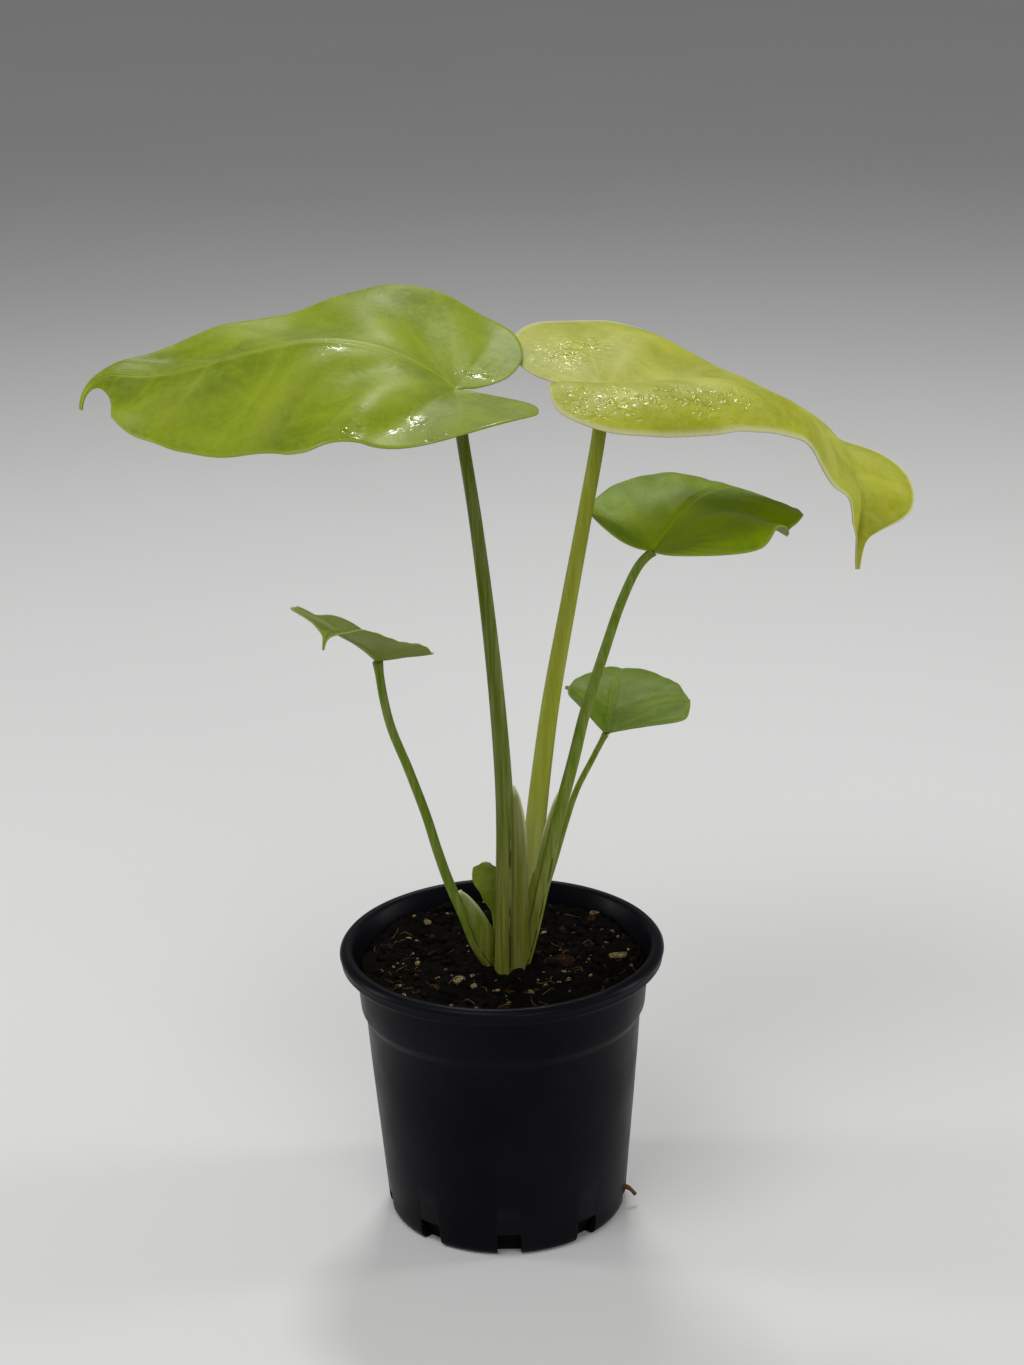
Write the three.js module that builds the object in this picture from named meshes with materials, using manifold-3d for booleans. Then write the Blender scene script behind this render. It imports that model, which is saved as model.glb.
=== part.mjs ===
// A young climbing aroid with golden heart-shaped leaves, growing in its black nursery pot.
// Millimetres, +Z up. The origin is the centre of the pot's flat underside.

import * as THREE from "three";
import { mergeVertices } from "three/addons/utils/BufferGeometryUtils.js";
import Module from "manifold-3d";

const wasm = await Module();
wasm.setup();

// Driving dimensions

const GAP = 0.3; // clearance between neighbouring pieces
const HOLE_ROOM = 0.5; // the soil keeps this far from the stalks that stand in it
const SLIVER = 0.02; // a cut's splinters smaller than this are closed up
const POT_HEIGHT = 98;
const RIM_RADIUS = 55;
const RIM_MOUTH_RADIUS = 51; // inner edge of the rolled rim
const RIM_DEPTH = 5.5;
const BAND_TOP_RADIUS = 49.9;
const BAND_BOTTOM_RADIUS = 48.4;
const BAND_BOTTOM_Z = 76.7;
const SHOULDER_Z = 73.6; // foot of the chamfer under the band
const BODY_TOP_RADIUS = 46.8;
const BODY_BOTTOM_RADIUS = 41.4;
const FOOT_RADIUS = 38.4;
const CORNER_Z = 6; // where the round bottom corner meets the wall
const WALL = 1.3;
const FLOOR = 2;
const POT_SIDES = 64;
const DRAIN = { count: 9, firstAngle: -10, width: 8, height: 8.5, innerRadius: 36 };

const SOIL_Z = 89.5;
const SOIL_RINGS = 9;
const SOIL_SECTORS = 40;
const PLANT_FOOT_Z = 85; // the stalks stand on the crown here, just under the soil's surface

const BLADE_THICKNESS = 0.8;
const STALK_SIDES = 10;

// Small tools

const deg = THREE.MathUtils.degToRad;
const V = (x, y, z) => new THREE.Vector3(x, y, z);

// A repeatable stream of numbers from 0 to 1
function seeded(seed) {
  let a = seed;
  return () => {
    a = (a + 0x6d2b79f5) | 0;
    let t = Math.imul(a ^ (a >>> 15), 1 | a);
    t = (t + Math.imul(t ^ (t >>> 7), 61 | t)) ^ t;
    return ((t ^ (t >>> 14)) >>> 0) / 4294967296;
  };
}

// A closed geometry as a solid that can be cut and joined
function solidOf(geometry) {
  const bare = new THREE.BufferGeometry();
  bare.setAttribute("position", geometry.getAttribute("position"));
  if (geometry.index) bare.setIndex(geometry.index);
  const merged = mergeVertices(bare, 1e-4);
  const mesh = new wasm.Mesh({
    numProp: 3,
    vertProperties: new Float32Array(merged.getAttribute("position").array),
    triVerts: new Uint32Array(merged.index.array),
  });
  return new wasm.Manifold(mesh);
}

// A cut solid as a mesh, without splinters and loose scraps
function geometryOf(solid) {
  const mesh = largest(solid.asOriginal().simplify(SLIVER)).getMesh();
  const geometry = new THREE.BufferGeometry();
  geometry.setAttribute("position", new THREE.BufferAttribute(mesh.vertProperties, 3));
  geometry.setIndex(new THREE.BufferAttribute(mesh.triVerts, 1));
  geometry.computeVertexNormals();
  return geometry;
}

// The largest separate body of a solid, so that a cut leaves no loose scraps
function largest(solid) {
  return solid.decompose().reduce((best, one) => (one.volume() > best.volume() ? one : best));
}

function geometryFrom(points, triangles) {
  const geometry = new THREE.BufferGeometry();
  geometry.setAttribute("position", new THREE.Float32BufferAttribute(points.flatMap((p) => p.toArray()), 3));
  geometry.setIndex(triangles);
  return geometry;
}

// A surface given a thickness: both faces have the same triangles, with a wall round the edge
function thicken(points, normals, triangles, half) {
  const count = points.length;
  const up = points.map((p, i) => p.clone().addScaledVector(normals[i], half(i)));
  const down = points.map((p, i) => p.clone().addScaledVector(normals[i], -half(i)));
  const all = [];
  const open = new Map();
  for (let t = 0; t < triangles.length; t += 3) {
    const corner = triangles.slice(t, t + 3);
    all.push(...corner, corner[0] + count, corner[2] + count, corner[1] + count);
    for (let k = 0; k < 3; k++) {
      const a = corner[k];
      const b = corner[(k + 1) % 3];
      if (!open.delete(`${b},${a}`)) open.set(`${a},${b}`, [a, b]);
    }
  }
  for (const [a, b] of open.values()) {
    all.push(b, a, a + count, b, a + count, b + count);
  }
  return geometryFrom([...up, ...down], all);
}

// A tube along a path whose section is an ellipse, half-widths given at each step
function loft(path, steps, sides, section) {
  const points = [];
  const triangles = [];
  for (let i = 0; i <= steps; i++) {
    const s = i / steps;
    const centre = path.getPoint(s);
    const along = path.getTangent(s);
    const across = V(0, 1, 0).cross(along).normalize();
    const depth = along.clone().cross(across).normalize();
    const [wide, deep] = section(s);
    for (let k = 0; k < sides; k++) {
      const angle = (2 * Math.PI * k) / sides;
      const p = centre.clone();
      p.addScaledVector(across, wide * Math.cos(angle));
      p.addScaledVector(depth, deep * Math.sin(angle));
      points.push(p);
    }
  }
  for (let i = 0; i < steps; i++) {
    for (let k = 0; k < sides; k++) {
      const a = i * sides + k;
      const b = i * sides + ((k + 1) % sides);
      triangles.push(a, b, b + sides, a, b + sides, a + sides);
    }
  }
  const last = steps * sides;
  for (let k = 1; k < sides - 1; k++) {
    triangles.push(0, k + 1, k);
    triangles.push(last, last + k, last + k + 1);
  }
  return geometryFrom(points, triangles);
}

// A value that runs smoothly through stations
function eased(stations, values, at) {
  const x = THREE.MathUtils.clamp(at, stations[0], stations[stations.length - 1]);
  let i = 0;
  while (i < stations.length - 2 && x > stations[i + 1]) i++;
  const w = THREE.MathUtils.smoothstep(x, stations[i], stations[i + 1]);
  return THREE.MathUtils.lerp(values[i], values[i + 1], w);
}

function straight(stations, values, at) {
  const x = THREE.MathUtils.clamp(at, stations[0], stations[stations.length - 1]);
  let i = 0;
  while (i < stations.length - 2 && x > stations[i + 1]) i++;
  return THREE.MathUtils.mapLinear(x, stations[i], stations[i + 1], values[i], values[i + 1]);
}

// The pot: rolled rim, plain band, chamfered shoulder, tapered wall and round bottom corner

function potProfile() {
  const rimZ = POT_HEIGHT;
  const outside = [
    [0, 0],
    [FOOT_RADIUS, 0],
    [BODY_BOTTOM_RADIUS - 1.3, 0.9],
    [BODY_BOTTOM_RADIUS - 0.4, 2.6],
    [BODY_BOTTOM_RADIUS, CORNER_Z],
    [BODY_TOP_RADIUS, SHOULDER_Z],
    [BAND_BOTTOM_RADIUS, BAND_BOTTOM_Z],
    [BAND_TOP_RADIUS, rimZ - RIM_DEPTH - 0.6],
    [BAND_TOP_RADIUS + 0.8, rimZ - RIM_DEPTH],
    [RIM_RADIUS - 1.4, rimZ - RIM_DEPTH],
    [RIM_RADIUS - 0.5, rimZ - RIM_DEPTH + 0.6],
    [RIM_RADIUS - 0.2, rimZ - 3.2],
    [RIM_RADIUS, rimZ - 2.7],
    [RIM_RADIUS - 0.1, rimZ - 1.2],
    [RIM_RADIUS - 1, rimZ - 0.3],
    [RIM_RADIUS - 2.2, rimZ],
  ];
  const inside = [
    [RIM_MOUTH_RADIUS, rimZ - 0.5],
    [RIM_MOUTH_RADIUS - 0.6, rimZ - 1.5],
    [BAND_TOP_RADIUS - WALL, rimZ - RIM_DEPTH - 1],
    [BAND_BOTTOM_RADIUS - WALL, BAND_BOTTOM_Z],
    [BODY_TOP_RADIUS - WALL, SHOULDER_Z],
    [BODY_BOTTOM_RADIUS - WALL, CORNER_Z],
    [FOOT_RADIUS - 0.5, FLOOR],
    [0, FLOOR],
  ];
  return [...outside, ...inside].map(([r, z]) => new THREE.Vector2(r, z));
}

function turned(profile, sides) {
  return new THREE.LatheGeometry(profile, sides).rotateX(Math.PI / 2);
}

function drainSlot(angle) {
  const depth = 12;
  const slot = new THREE.BoxGeometry(depth, DRAIN.width, DRAIN.height + 1);
  slot.translate(DRAIN.innerRadius + depth / 2, 0, (DRAIN.height - 1) / 2);
  return slot.rotateZ(deg(angle));
}

function makePot() {
  let pot = solidOf(turned(potProfile(), POT_SIDES));
  for (let i = 0; i < DRAIN.count; i++) {
    pot = pot.subtract(solidOf(drainSlot(DRAIN.firstAngle + (360 / DRAIN.count) * i)));
  }
  return pot;
}

// The leaves. Each blade is drawn flat as a heart with a drip tip, then bent to its midrib,
// folded along it and rippled.

// Half outline of the flat heart, from the notch round a lobe to the drip tip:
// distance along the midrib and distance from it, as shares of the length and the half-width
const HEART = [
  [0, 0],
  [-0.1, 0.1],
  [-0.2, 0.32],
  [-0.21, 0.62],
  [-0.09, 0.9],
  [0.12, 1],
  [0.36, 0.93],
  [0.6, 0.74],
  [0.8, 0.47],
  [0.92, 0.24],
  [0.98, 0.09],
  [1.02, 0.035],
  [1.1, 0.012],
];
const HEART_CURVE = new THREE.SplineCurve(HEART.map(([u, v]) => new THREE.Vector2(u, v)));
const VEIN_SLANT = 0.25; // how far forward a side vein runs from midrib to margin
const PITCH_AT = [0, 0.25, 0.5, 0.75, 0.93, 1.1];
const FOLD_AT = [-0.2, 0.15, 0.5, 0.8, 1];
const WIDTH_AT = [0, 0.12, 0.5, 0.8, 1.1];
const MIDRIB_STEPS = 110;
const MIDRIB_END = 1.1;
const CURL_SPAN = 50; // a curl is stated in degrees over this distance from the midrib

// Sizes in mm and angles in degrees. Pitch is the midrib's climb at PITCH_AT. Fold is the climb
// of each half away from the midrib at FOLD_AT, and curl how much that changes further out.
const LEAVES = [
  {
    name: "great_left",
    joint: [-10.5, -3, 291],
    length: 121,
    heading: [174, 175],
    pitch: [42, 14, -14, -15, 8, -91],
    lobePitch: 6,
    left: { width: 56, lobe: 1, fold: [10, -11, -29, -28, -61], curl: -8, fuller: [1, 1.24] },
    right: { width: 60, lobe: 0.6, fold: [-1, -5, -10, 2, 5], curl: 23, fuller: [0.94, 0.96] },
    ripple: 0.3,
    grid: [20, 6],
    color: 0x86a32c,
  },
  {
    name: "great_right",
    joint: [36.9, 13.1, 285.7],
    length: 119,
    heading: [19, -2],
    pitch: [-6, 0, -30, -49, -94, -89],
    lobePitch: 7,
    left: { width: 59, lobe: 0.81, fold: [21, 18, 2, 7, 110], curl: -14, fuller: [0.94, 1.44] },
    right: { width: 48, lobe: 1, fold: [33, 34, 28, 2, -17], curl: -85, fuller: [0.96, 0.96] },
    ripple: 0.6,
    grid: [20, 6],
    color: 0xb9bf4a,
  },
  {
    name: "middle_right",
    joint: [53.1, 16, 230.2],
    length: 74.5,
    heading: [60, 33],
    pitch: [15, 28, -2, -28, -44, -89],
    lobePitch: 0,
    left: { width: 31, lobe: 0.73, fold: [51, 19, 9, 7, 4], curl: -21, fuller: [1, 1] },
    right: { width: 42.5, lobe: 0.68, fold: [17, 20, -7, -3, 29], curl: -22, fuller: [0.97, 1.22] },
    ripple: 0.5,
    grid: [16, 5],
    color: 0x7d9b2e,
  },
  {
    name: "small_right",
    joint: [37.1, 22.5, 163.8],
    length: 49.7,
    heading: [81, 79],
    pitch: [11, 15, 20, 2, -23, -75],
    lobePitch: -20,
    left: { width: 18.4, lobe: 0.87, fold: [60, 45, 9, -2, 9], curl: -6, fuller: [1, 1] },
    right: { width: 29, lobe: 1, fold: [16, 19, 7, -2, 3], curl: -16, fuller: [0.99, 0.99] },
    ripple: 0.3,
    grid: [14, 4],
    color: 0x6f8c26,
  },
  {
    name: "small_left",
    joint: [-38.2, -5, 201.4],
    length: 47.4,
    heading: [246, 254],
    pitch: [39, 35, 28, 30, 10, -66],
    lobePitch: 12,
    left: { width: 19.6, lobe: 0.95, fold: [16, 15, 6, 10, -3], curl: -14, fuller: [1, 1] },
    right: { width: 28.8, lobe: 1.04, fold: [33, 27, 23, 22, 27], curl: -8, fuller: [1, 0.96] },
    ripple: 0.3,
    grid: [14, 4],
    color: 0x7f9a3e,
  },
];

// The midrib as a walk from the joint, with its direction and heading at every step
function midribOf(leaf) {
  const step = (leaf.length * MIDRIB_END) / MIDRIB_STEPS;
  const at = [];
  let point = V(...leaf.joint);
  for (let i = 0; i <= MIDRIB_STEPS; i++) {
    const u = (MIDRIB_END * i) / MIDRIB_STEPS;
    const pitch = deg(straight(PITCH_AT, leaf.pitch, u));
    const heading = deg(THREE.MathUtils.lerp(leaf.heading[0], leaf.heading[1], u));
    const along = V(
      Math.cos(pitch) * Math.cos(heading),
      Math.cos(pitch) * Math.sin(heading),
      Math.sin(pitch)
    );
    if (i > 0) point = point.clone().addScaledVector(along.clone().add(at[i - 1].along), step / 2);
    at.push({ point, along, heading });
  }
  return at;
}

// The bent blade: u runs along the midrib as a share of the length, v is mm out from it, and
// side is 1 for the left half, -1 for the right
function bladeSurface(leaf) {
  const midrib = midribOf(leaf);
  return (u, v, side) => {
    const half = side > 0 ? leaf.left : leaf.right;
    const exact = (THREE.MathUtils.clamp(u, 0, MIDRIB_END) / MIDRIB_END) * MIDRIB_STEPS;
    const i = Math.min(Math.floor(exact), MIDRIB_STEPS - 1);
    const w = exact - i;
    const point = midrib[i].point.clone().lerp(midrib[i + 1].point, w);
    const along = midrib[i].along.clone().lerp(midrib[i + 1].along, w).normalize();
    const heading = THREE.MathUtils.lerp(midrib[i].heading, midrib[i + 1].heading, w);
    if (u < 0) {
      const back = deg(leaf.lobePitch);
      const level = Math.cos(back) * leaf.length * u;
      point.add(V(level * Math.cos(heading), level * Math.sin(heading), Math.sin(back) * leaf.length * u));
    }
    const out = V(-Math.sin(heading), Math.cos(heading), 0).multiplyScalar(side);
    const up = along.clone().cross(out).multiplyScalar(side);
    const fold = deg(eased(FOLD_AT, half.fold, u));
    const curl = deg(half.curl) / CURL_SPAN;
    const reach = (Math.sin(fold + curl * v) - Math.sin(fold)) / curl;
    const climb = (Math.cos(fold) - Math.cos(fold + curl * v)) / curl;
    // Side veins sink the blade a little, and the margin waves
    const share = v / half.width;
    const vein = Math.sin(2 * Math.PI * 6 * (u - VEIN_SLANT * share));
    const wave = leaf.ripple * share * (0.5 * vein + 0.4 * Math.sin(2 * Math.PI * 2.3 * u + 1.5 * side));
    return point.addScaledVector(out, reach).addScaledVector(up, climb + wave);
  };
}

function bladeNormal(surface, u, v, side) {
  const nudgeU = 0.004;
  const nudgeV = 0.4;
  const alongU = surface(u + nudgeU, v, side).sub(surface(u - nudgeU, v, side));
  const outV = surface(u, v + nudgeV, side).sub(surface(u, Math.max(v - nudgeV, 0), side));
  return alongU.cross(outV).multiplyScalar(side).normalize();
}

// A blade as a fan of rows from the midrib to the margin, both halves sharing the midrib
function makeBlade(leaf, thickness) {
  const [rows, columns] = leaf.grid;
  const surface = bladeSurface(leaf);
  const points = [];
  const normals = [];
  const triangles = [];
  const spine = new Map();
  const addPoint = (point, normal) => {
    points.push(point);
    normals.push(normal);
    return points.length - 1;
  };
  const spinePoint = (u) => {
    const key = u.toFixed(5);
    if (!spine.has(key)) {
      const normal = bladeNormal(surface, u, 0, 1).add(bladeNormal(surface, u, 0, -1)).normalize();
      spine.set(key, addPoint(surface(u, 0, 1), normal));
    }
    return spine.get(key);
  };
  for (const side of [1, -1]) {
    const half = side > 0 ? leaf.left : leaf.right;
    let before = null;
    for (let i = 1; i <= rows; i++) {
      const margin = HEART_CURVE.getPoint(i / rows);
      const edgeU = margin.x < 0 ? margin.x * half.lobe : margin.x;
      const fuller = eased(WIDTH_AT, [1, 1, half.fuller[0], half.fuller[1], half.fuller[1]], edgeU);
      const edgeV = margin.y * half.width * fuller;
      const rootU = Math.max(edgeU - VEIN_SLANT * margin.y, 0);
      const row = [spinePoint(rootU)];
      for (let k = 1; k <= columns; k++) {
        const share = k / columns;
        const u = THREE.MathUtils.lerp(rootU, edgeU, share);
        const v = edgeV * share;
        row.push(addPoint(surface(u, v, side), bladeNormal(surface, u, v, side)));
      }
      if (before) {
        for (let k = 0; k < columns; k++) {
          const quad = [before[k], before[k + 1], row[k + 1], row[k]];
          if (side < 0) quad.reverse();
          const [a, b, c, d] = quad;
          const put = (p, q, r) => {
            if (p !== q && q !== r && r !== p) triangles.push(p, r, q);
          };
          put(a, b, c);
          put(a, c, d);
        }
      }
      before = row;
    }
  }
  return thicken(points, normals, triangles, () => thickness / 2);
}

// The leaf stalks, with the sheath wings that wrap their feet

// Path points in mm from the crown to the joint, half-widths at the foot, at mid-height and under
// the blade, and each sheath wing: which way it reaches, where it starts and ends, how it wraps
// round, and how blunt its hood is
const STALKS = [
  {
    name: "great_left",
    path: [
      [0.6, -4.5, PLANT_FOOT_Z],
      [1.1, -4.5, 100],
      [1.6, -4.3, 120],
      [2.1, -4.2, 139],
      [1.9, -4, 157],
      [0.4, -3.8, 186],
      [-2.4, -3.5, 221],
      [-5.4, -3.3, 250],
      [-8.6, -3.1, 275],
      [-10.2, -3, 290],
    ],
    foot: [3.5, 3.1],
    middle: [3.2, 2.9],
    top: [2, 2],
    wings: [{ side: 1, reach: 4.6, from: 0, to: 0.44, wrap: -0.03, hood: 5 }],
    color: 0x66781a,
  },
  {
    name: "great_right",
    path: [
      [3.8, 3, PLANT_FOOT_Z],
      [6.6, 3.4, 97],
      [8.9, 3.5, 115],
      [12, 3.7, 136.7],
      [14.4, 4, 156],
      [18.3, 5, 182.7],
      [24.8, 6.6, 216.8],
      [30.7, 8.5, 246.8],
      [35.7, 11.4, 273.3],
      [36.8, 12.9, 285],
    ],
    foot: [2.6, 2.4],
    middle: [3.6, 3.1],
    top: [2.3, 2.3],
    wings: [],
    color: 0x98a040,
  },
  {
    name: "middle_right",
    path: [
      [6, -1.2, PLANT_FOOT_Z],
      [10, -0.1, 99],
      [14.9, 1.2, 119.6],
      [19.3, 2.8, 138.9],
      [25.4, 5, 161.2],
      [29.8, 7, 178.2],
      [36.5, 10, 198],
      [42.5, 13, 214.3],
      [48.4, 15.2, 225.6],
      [52.4, 16, 229.6],
    ],
    foot: [2.1, 1.8],
    middle: [2.2, 2],
    top: [1.5, 1.5],
    wings: [{ side: -1, reach: 2.4, from: 0, to: 0.385, wrap: -0.06, hood: 4 }],
    color: 0x5a7018,
  },
  {
    name: "small_right",
    path: [
      [7.2, 6.2, PLANT_FOOT_Z],
      [10.6, 7, 97.5],
      [14.5, 7.9, 111.1],
      [18.7, 9.7, 123.9],
      [22.6, 12, 136],
      [26.6, 15.2, 146.3],
      [32, 19, 155.5],
      [36.4, 22.2, 163],
    ],
    foot: [1.8, 1.6],
    middle: [1.3, 1.2],
    top: [1, 1],
    wings: [{ side: -1, reach: 1.6, from: 0, to: 0.57, wrap: 0.05, hood: 5 }],
    color: 0x6e8520,
  },
  {
    name: "small_left",
    path: [
      [-3, 0.2, PLANT_FOOT_Z],
      [-3.4, 0, 87.5],
      [-5.9, -1.5, 92],
      [-8.9, -2.6, 98],
      [-12.6, -3.2, 109],
      [-17, -3.6, 121],
      [-20.6, -3.9, 133],
      [-24, -4.1, 146],
      [-29.4, -4.4, 163],
      [-34.6, -4.7, 178],
      [-36.8, -4.9, 189],
      [-38.1, -5, 200.4],
    ],
    foot: [1.9, 1.7],
    middle: [1.8, 1.6],
    top: [1.45, 1.4],
    wings: [{ side: 1, reach: 7, from: 0.16, to: 0.43, wrap: 0.04, hood: 1.6 }],
    color: 0x6a8226,
  },
];
const STALK_STEPS = 24;
const FOOT_SHARE = 0.22; // share of the stalk over which the foot narrows
const WING_ROWS = 9;
const WING_COLUMNS = 3;
const WING_THICKNESS = 0.9;
const WING_ROOT = 1.2; // how far a wing starts inside the stalk
const WING_FOOT = 0.5; // share of its reach that a wing has at its foot

// The centre line, with its foot set lower by the given amount
function stalkPath(stalk, lower = 0) {
  const points = stalk.path.map((p) => V(...p));
  points[0].z -= lower;
  return new THREE.CatmullRomCurve3(points, false, "centripetal");
}

function stalkSection(stalk, extra) {
  return (s) => {
    const low = THREE.MathUtils.smoothstep(s, 0, FOOT_SHARE);
    const high = THREE.MathUtils.smoothstep(s, FOOT_SHARE, 0.9);
    return [0, 1].map((k) => {
      const lower = THREE.MathUtils.lerp(stalk.foot[k], stalk.middle[k], low);
      return THREE.MathUtils.lerp(lower, stalk.top[k], high) + extra;
    });
  };
}

// A thin curved wing beside the stalk that ends above in a round hood
function wingGeometry(stalk, wing, extra) {
  const path = stalkPath(stalk, extra);
  const section = stalkSection(stalk, 0);
  const points = [];
  const normals = [];
  const triangles = [];
  for (let i = 0; i <= WING_ROWS; i++) {
    const share = i / WING_ROWS;
    const s = THREE.MathUtils.lerp(wing.from, wing.to, share);
    const along = path.getTangent(s);
    const across = V(0, 1, 0).cross(along).normalize();
    const depth = along.clone().cross(across).normalize();
    const rising = THREE.MathUtils.lerp(WING_FOOT, 1, THREE.MathUtils.smoothstep(share, 0, 0.2));
    const closing = Math.sqrt(Math.max(1 - share ** wing.hood, 0.03));
    const reach = wing.reach * rising * closing + WING_ROOT + extra;
    for (let k = 0; k <= WING_COLUMNS; k++) {
      const out = (reach * k) / WING_COLUMNS;
      const p = path.getPoint(s);
      p.addScaledVector(across, wing.side * (section(s)[0] - WING_ROOT + out));
      p.addScaledVector(depth, wing.wrap * out * out);
      points.push(p);
      normals.push(depth.clone().addScaledVector(across, -2 * wing.side * wing.wrap * out).normalize());
    }
  }
  const width = WING_COLUMNS + 1;
  for (let i = 0; i < WING_ROWS; i++) {
    for (let k = 0; k < WING_COLUMNS; k++) {
      const a = i * width + k;
      const quad = [a, a + 1, a + 1 + width, a + width];
      if (wing.side > 0) quad.reverse();
      triangles.push(quad[0], quad[2], quad[1], quad[0], quad[3], quad[2]);
    }
  }
  return thicken(points, normals, triangles, () => WING_THICKNESS / 2 + extra);
}

// A stalk with its wings; extra grows it on all sides, to cut the room that a neighbour leaves
function stalkSolid(stalk, extra = 0) {
  let solid = solidOf(loft(stalkPath(stalk, extra), STALK_STEPS, STALK_SIDES, stalkSection(stalk, extra)));
  for (const wing of stalk.wings) solid = solid.add(solidOf(wingGeometry(stalk, wing, extra)));
  return solid;
}

// The small spoon-shaped first leaf behind the stalks

const FIRST_LEAF = {
  path: [
    [-2.4, 4.4, PLANT_FOOT_Z],
    [-1.4, 5, 98],
    [-1.8, 5.2, 106],
    [-3.7, 5.4, 113.5],
    [-4.9, 5.2, 119.5],
    [-4.7, 5, 125],
  ],
  stations: [0, 0.4, 0.6, 0.8, 0.92, 1],
  halfWidths: [1.3, 1.4, 3, 4.6, 4.4, 2.6],
  color: 0x7c9040,
};

function makeFirstLeaf(extra = 0) {
  const path = new THREE.CatmullRomCurve3(FIRST_LEAF.path.map((p) => V(...p)));
  const section = (s) => {
    const wide = eased(FIRST_LEAF.stations, FIRST_LEAF.halfWidths, s);
    return [wide + extra, 0.55 + 0.3 * (1 - s) + extra];
  };
  return solidOf(loft(path, 12, STALK_SIDES, section));
}

// The crown: a short stem in the soil, with its roots

const CROWN_PROFILE = [
  [0, 58],
  [4, 59],
  [6.5, 63],
  [6.9, 67],
  [7.8, 67.6],
  [7.4, 73],
  [8.6, 73.6],
  [8.2, 79],
  [9.2, 79.6],
  [8.9, PLANT_FOOT_Z - 2 * GAP],
  [0, PLANT_FOOT_Z - 2 * GAP],
];
const CROWN_CENTRE = [1.5, -0.5];
const ROOT_COUNT = 7;
const ROOT_SIDES = 6;
const ROOT_STEPS = 9;
// One root has grown down to a drain slot and out of it
const ESCAPED_ROOT = [
  [1.5, -0.5, 66],
  [14, -3, 52],
  [25, -4, 32],
  [33, -5.4, 14],
  [37.2, -6.2, 7],
  [41.8, -7, 6],
  [44.4, -7.4, 3.4],
];

function rootSolid(points, thick, thin, extra) {
  const path = new THREE.CatmullRomCurve3(points.map((p) => V(...p)));
  const section = (s) => {
    const radius = THREE.MathUtils.lerp(thick, thin, s) + extra;
    return [radius, radius];
  };
  return solidOf(loft(path, ROOT_STEPS, ROOT_SIDES, section));
}

function makeCrown(extra = 0) {
  const profile = CROWN_PROFILE.map(([r, z], i) => {
    const lift = i === 0 ? -extra : i >= CROWN_PROFILE.length - 2 ? extra : 0;
    return new THREE.Vector2(r === 0 ? 0 : r + extra, z + lift);
  });
  const [x, y] = CROWN_CENTRE;
  let crown = solidOf(turned(profile, 16).translate(x, y, 0));
  const random = seeded(11);
  for (let i = 0; i < ROOT_COUNT; i++) {
    const turn = ((i + 0.5 + 0.3 * random()) / ROOT_COUNT) * 2 * Math.PI;
    const spread = 20 + 12 * random();
    const bottom = 12 + 22 * random();
    const swing = 5 * (random() - 0.5);
    const c = Math.cos(turn);
    const s = Math.sin(turn);
    const points = [
      [x, y, 68 - random() * 4],
      [x + 0.45 * spread * c - swing * s, y + 0.45 * spread * s + swing * c, 56],
      [x + 0.8 * spread * c + swing * s, y + 0.8 * spread * s - swing * c, (56 + bottom) / 2],
      [x + spread * c, y + spread * s, bottom],
    ];
    crown = crown.add(rootSolid(points, 1.5, 0.7, extra));
  }
  return crown.add(rootSolid(ESCAPED_ROOT, 1.5, 0.6, extra));
}

// The soil, a bumpy mix with grains of perlite and chips of bark bedded in its top

const GRAIN_COUNT = 44;
const CHIP_COUNT = 22;
const HOLE_SIDES = 40;
const SOIL_REACH = 43; // grains lie this far out at most
const NEAREST = 0.13; // share of that disc, round the stalks, that stays free

function soilHeight(x, y) {
  const slow = 0.8 * Math.sin(0.16 * x + 0.7) * Math.cos(0.19 * y - 0.4);
  const quick = 0.5 * Math.sin(0.53 * x + 0.31 * y) + 0.4 * Math.sin(0.47 * y - 0.61 * x + 1.1);
  return SOIL_Z + slow + quick;
}

function innerRadiusAt(z) {
  const heights = [CORNER_Z, SHOULDER_Z, BAND_BOTTOM_Z, POT_HEIGHT - RIM_DEPTH - 1];
  const radii = [BODY_BOTTOM_RADIUS, BODY_TOP_RADIUS, BAND_BOTTOM_RADIUS, BAND_TOP_RADIUS];
  return straight(heights, radii.map((r) => r - WALL), z);
}

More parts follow.
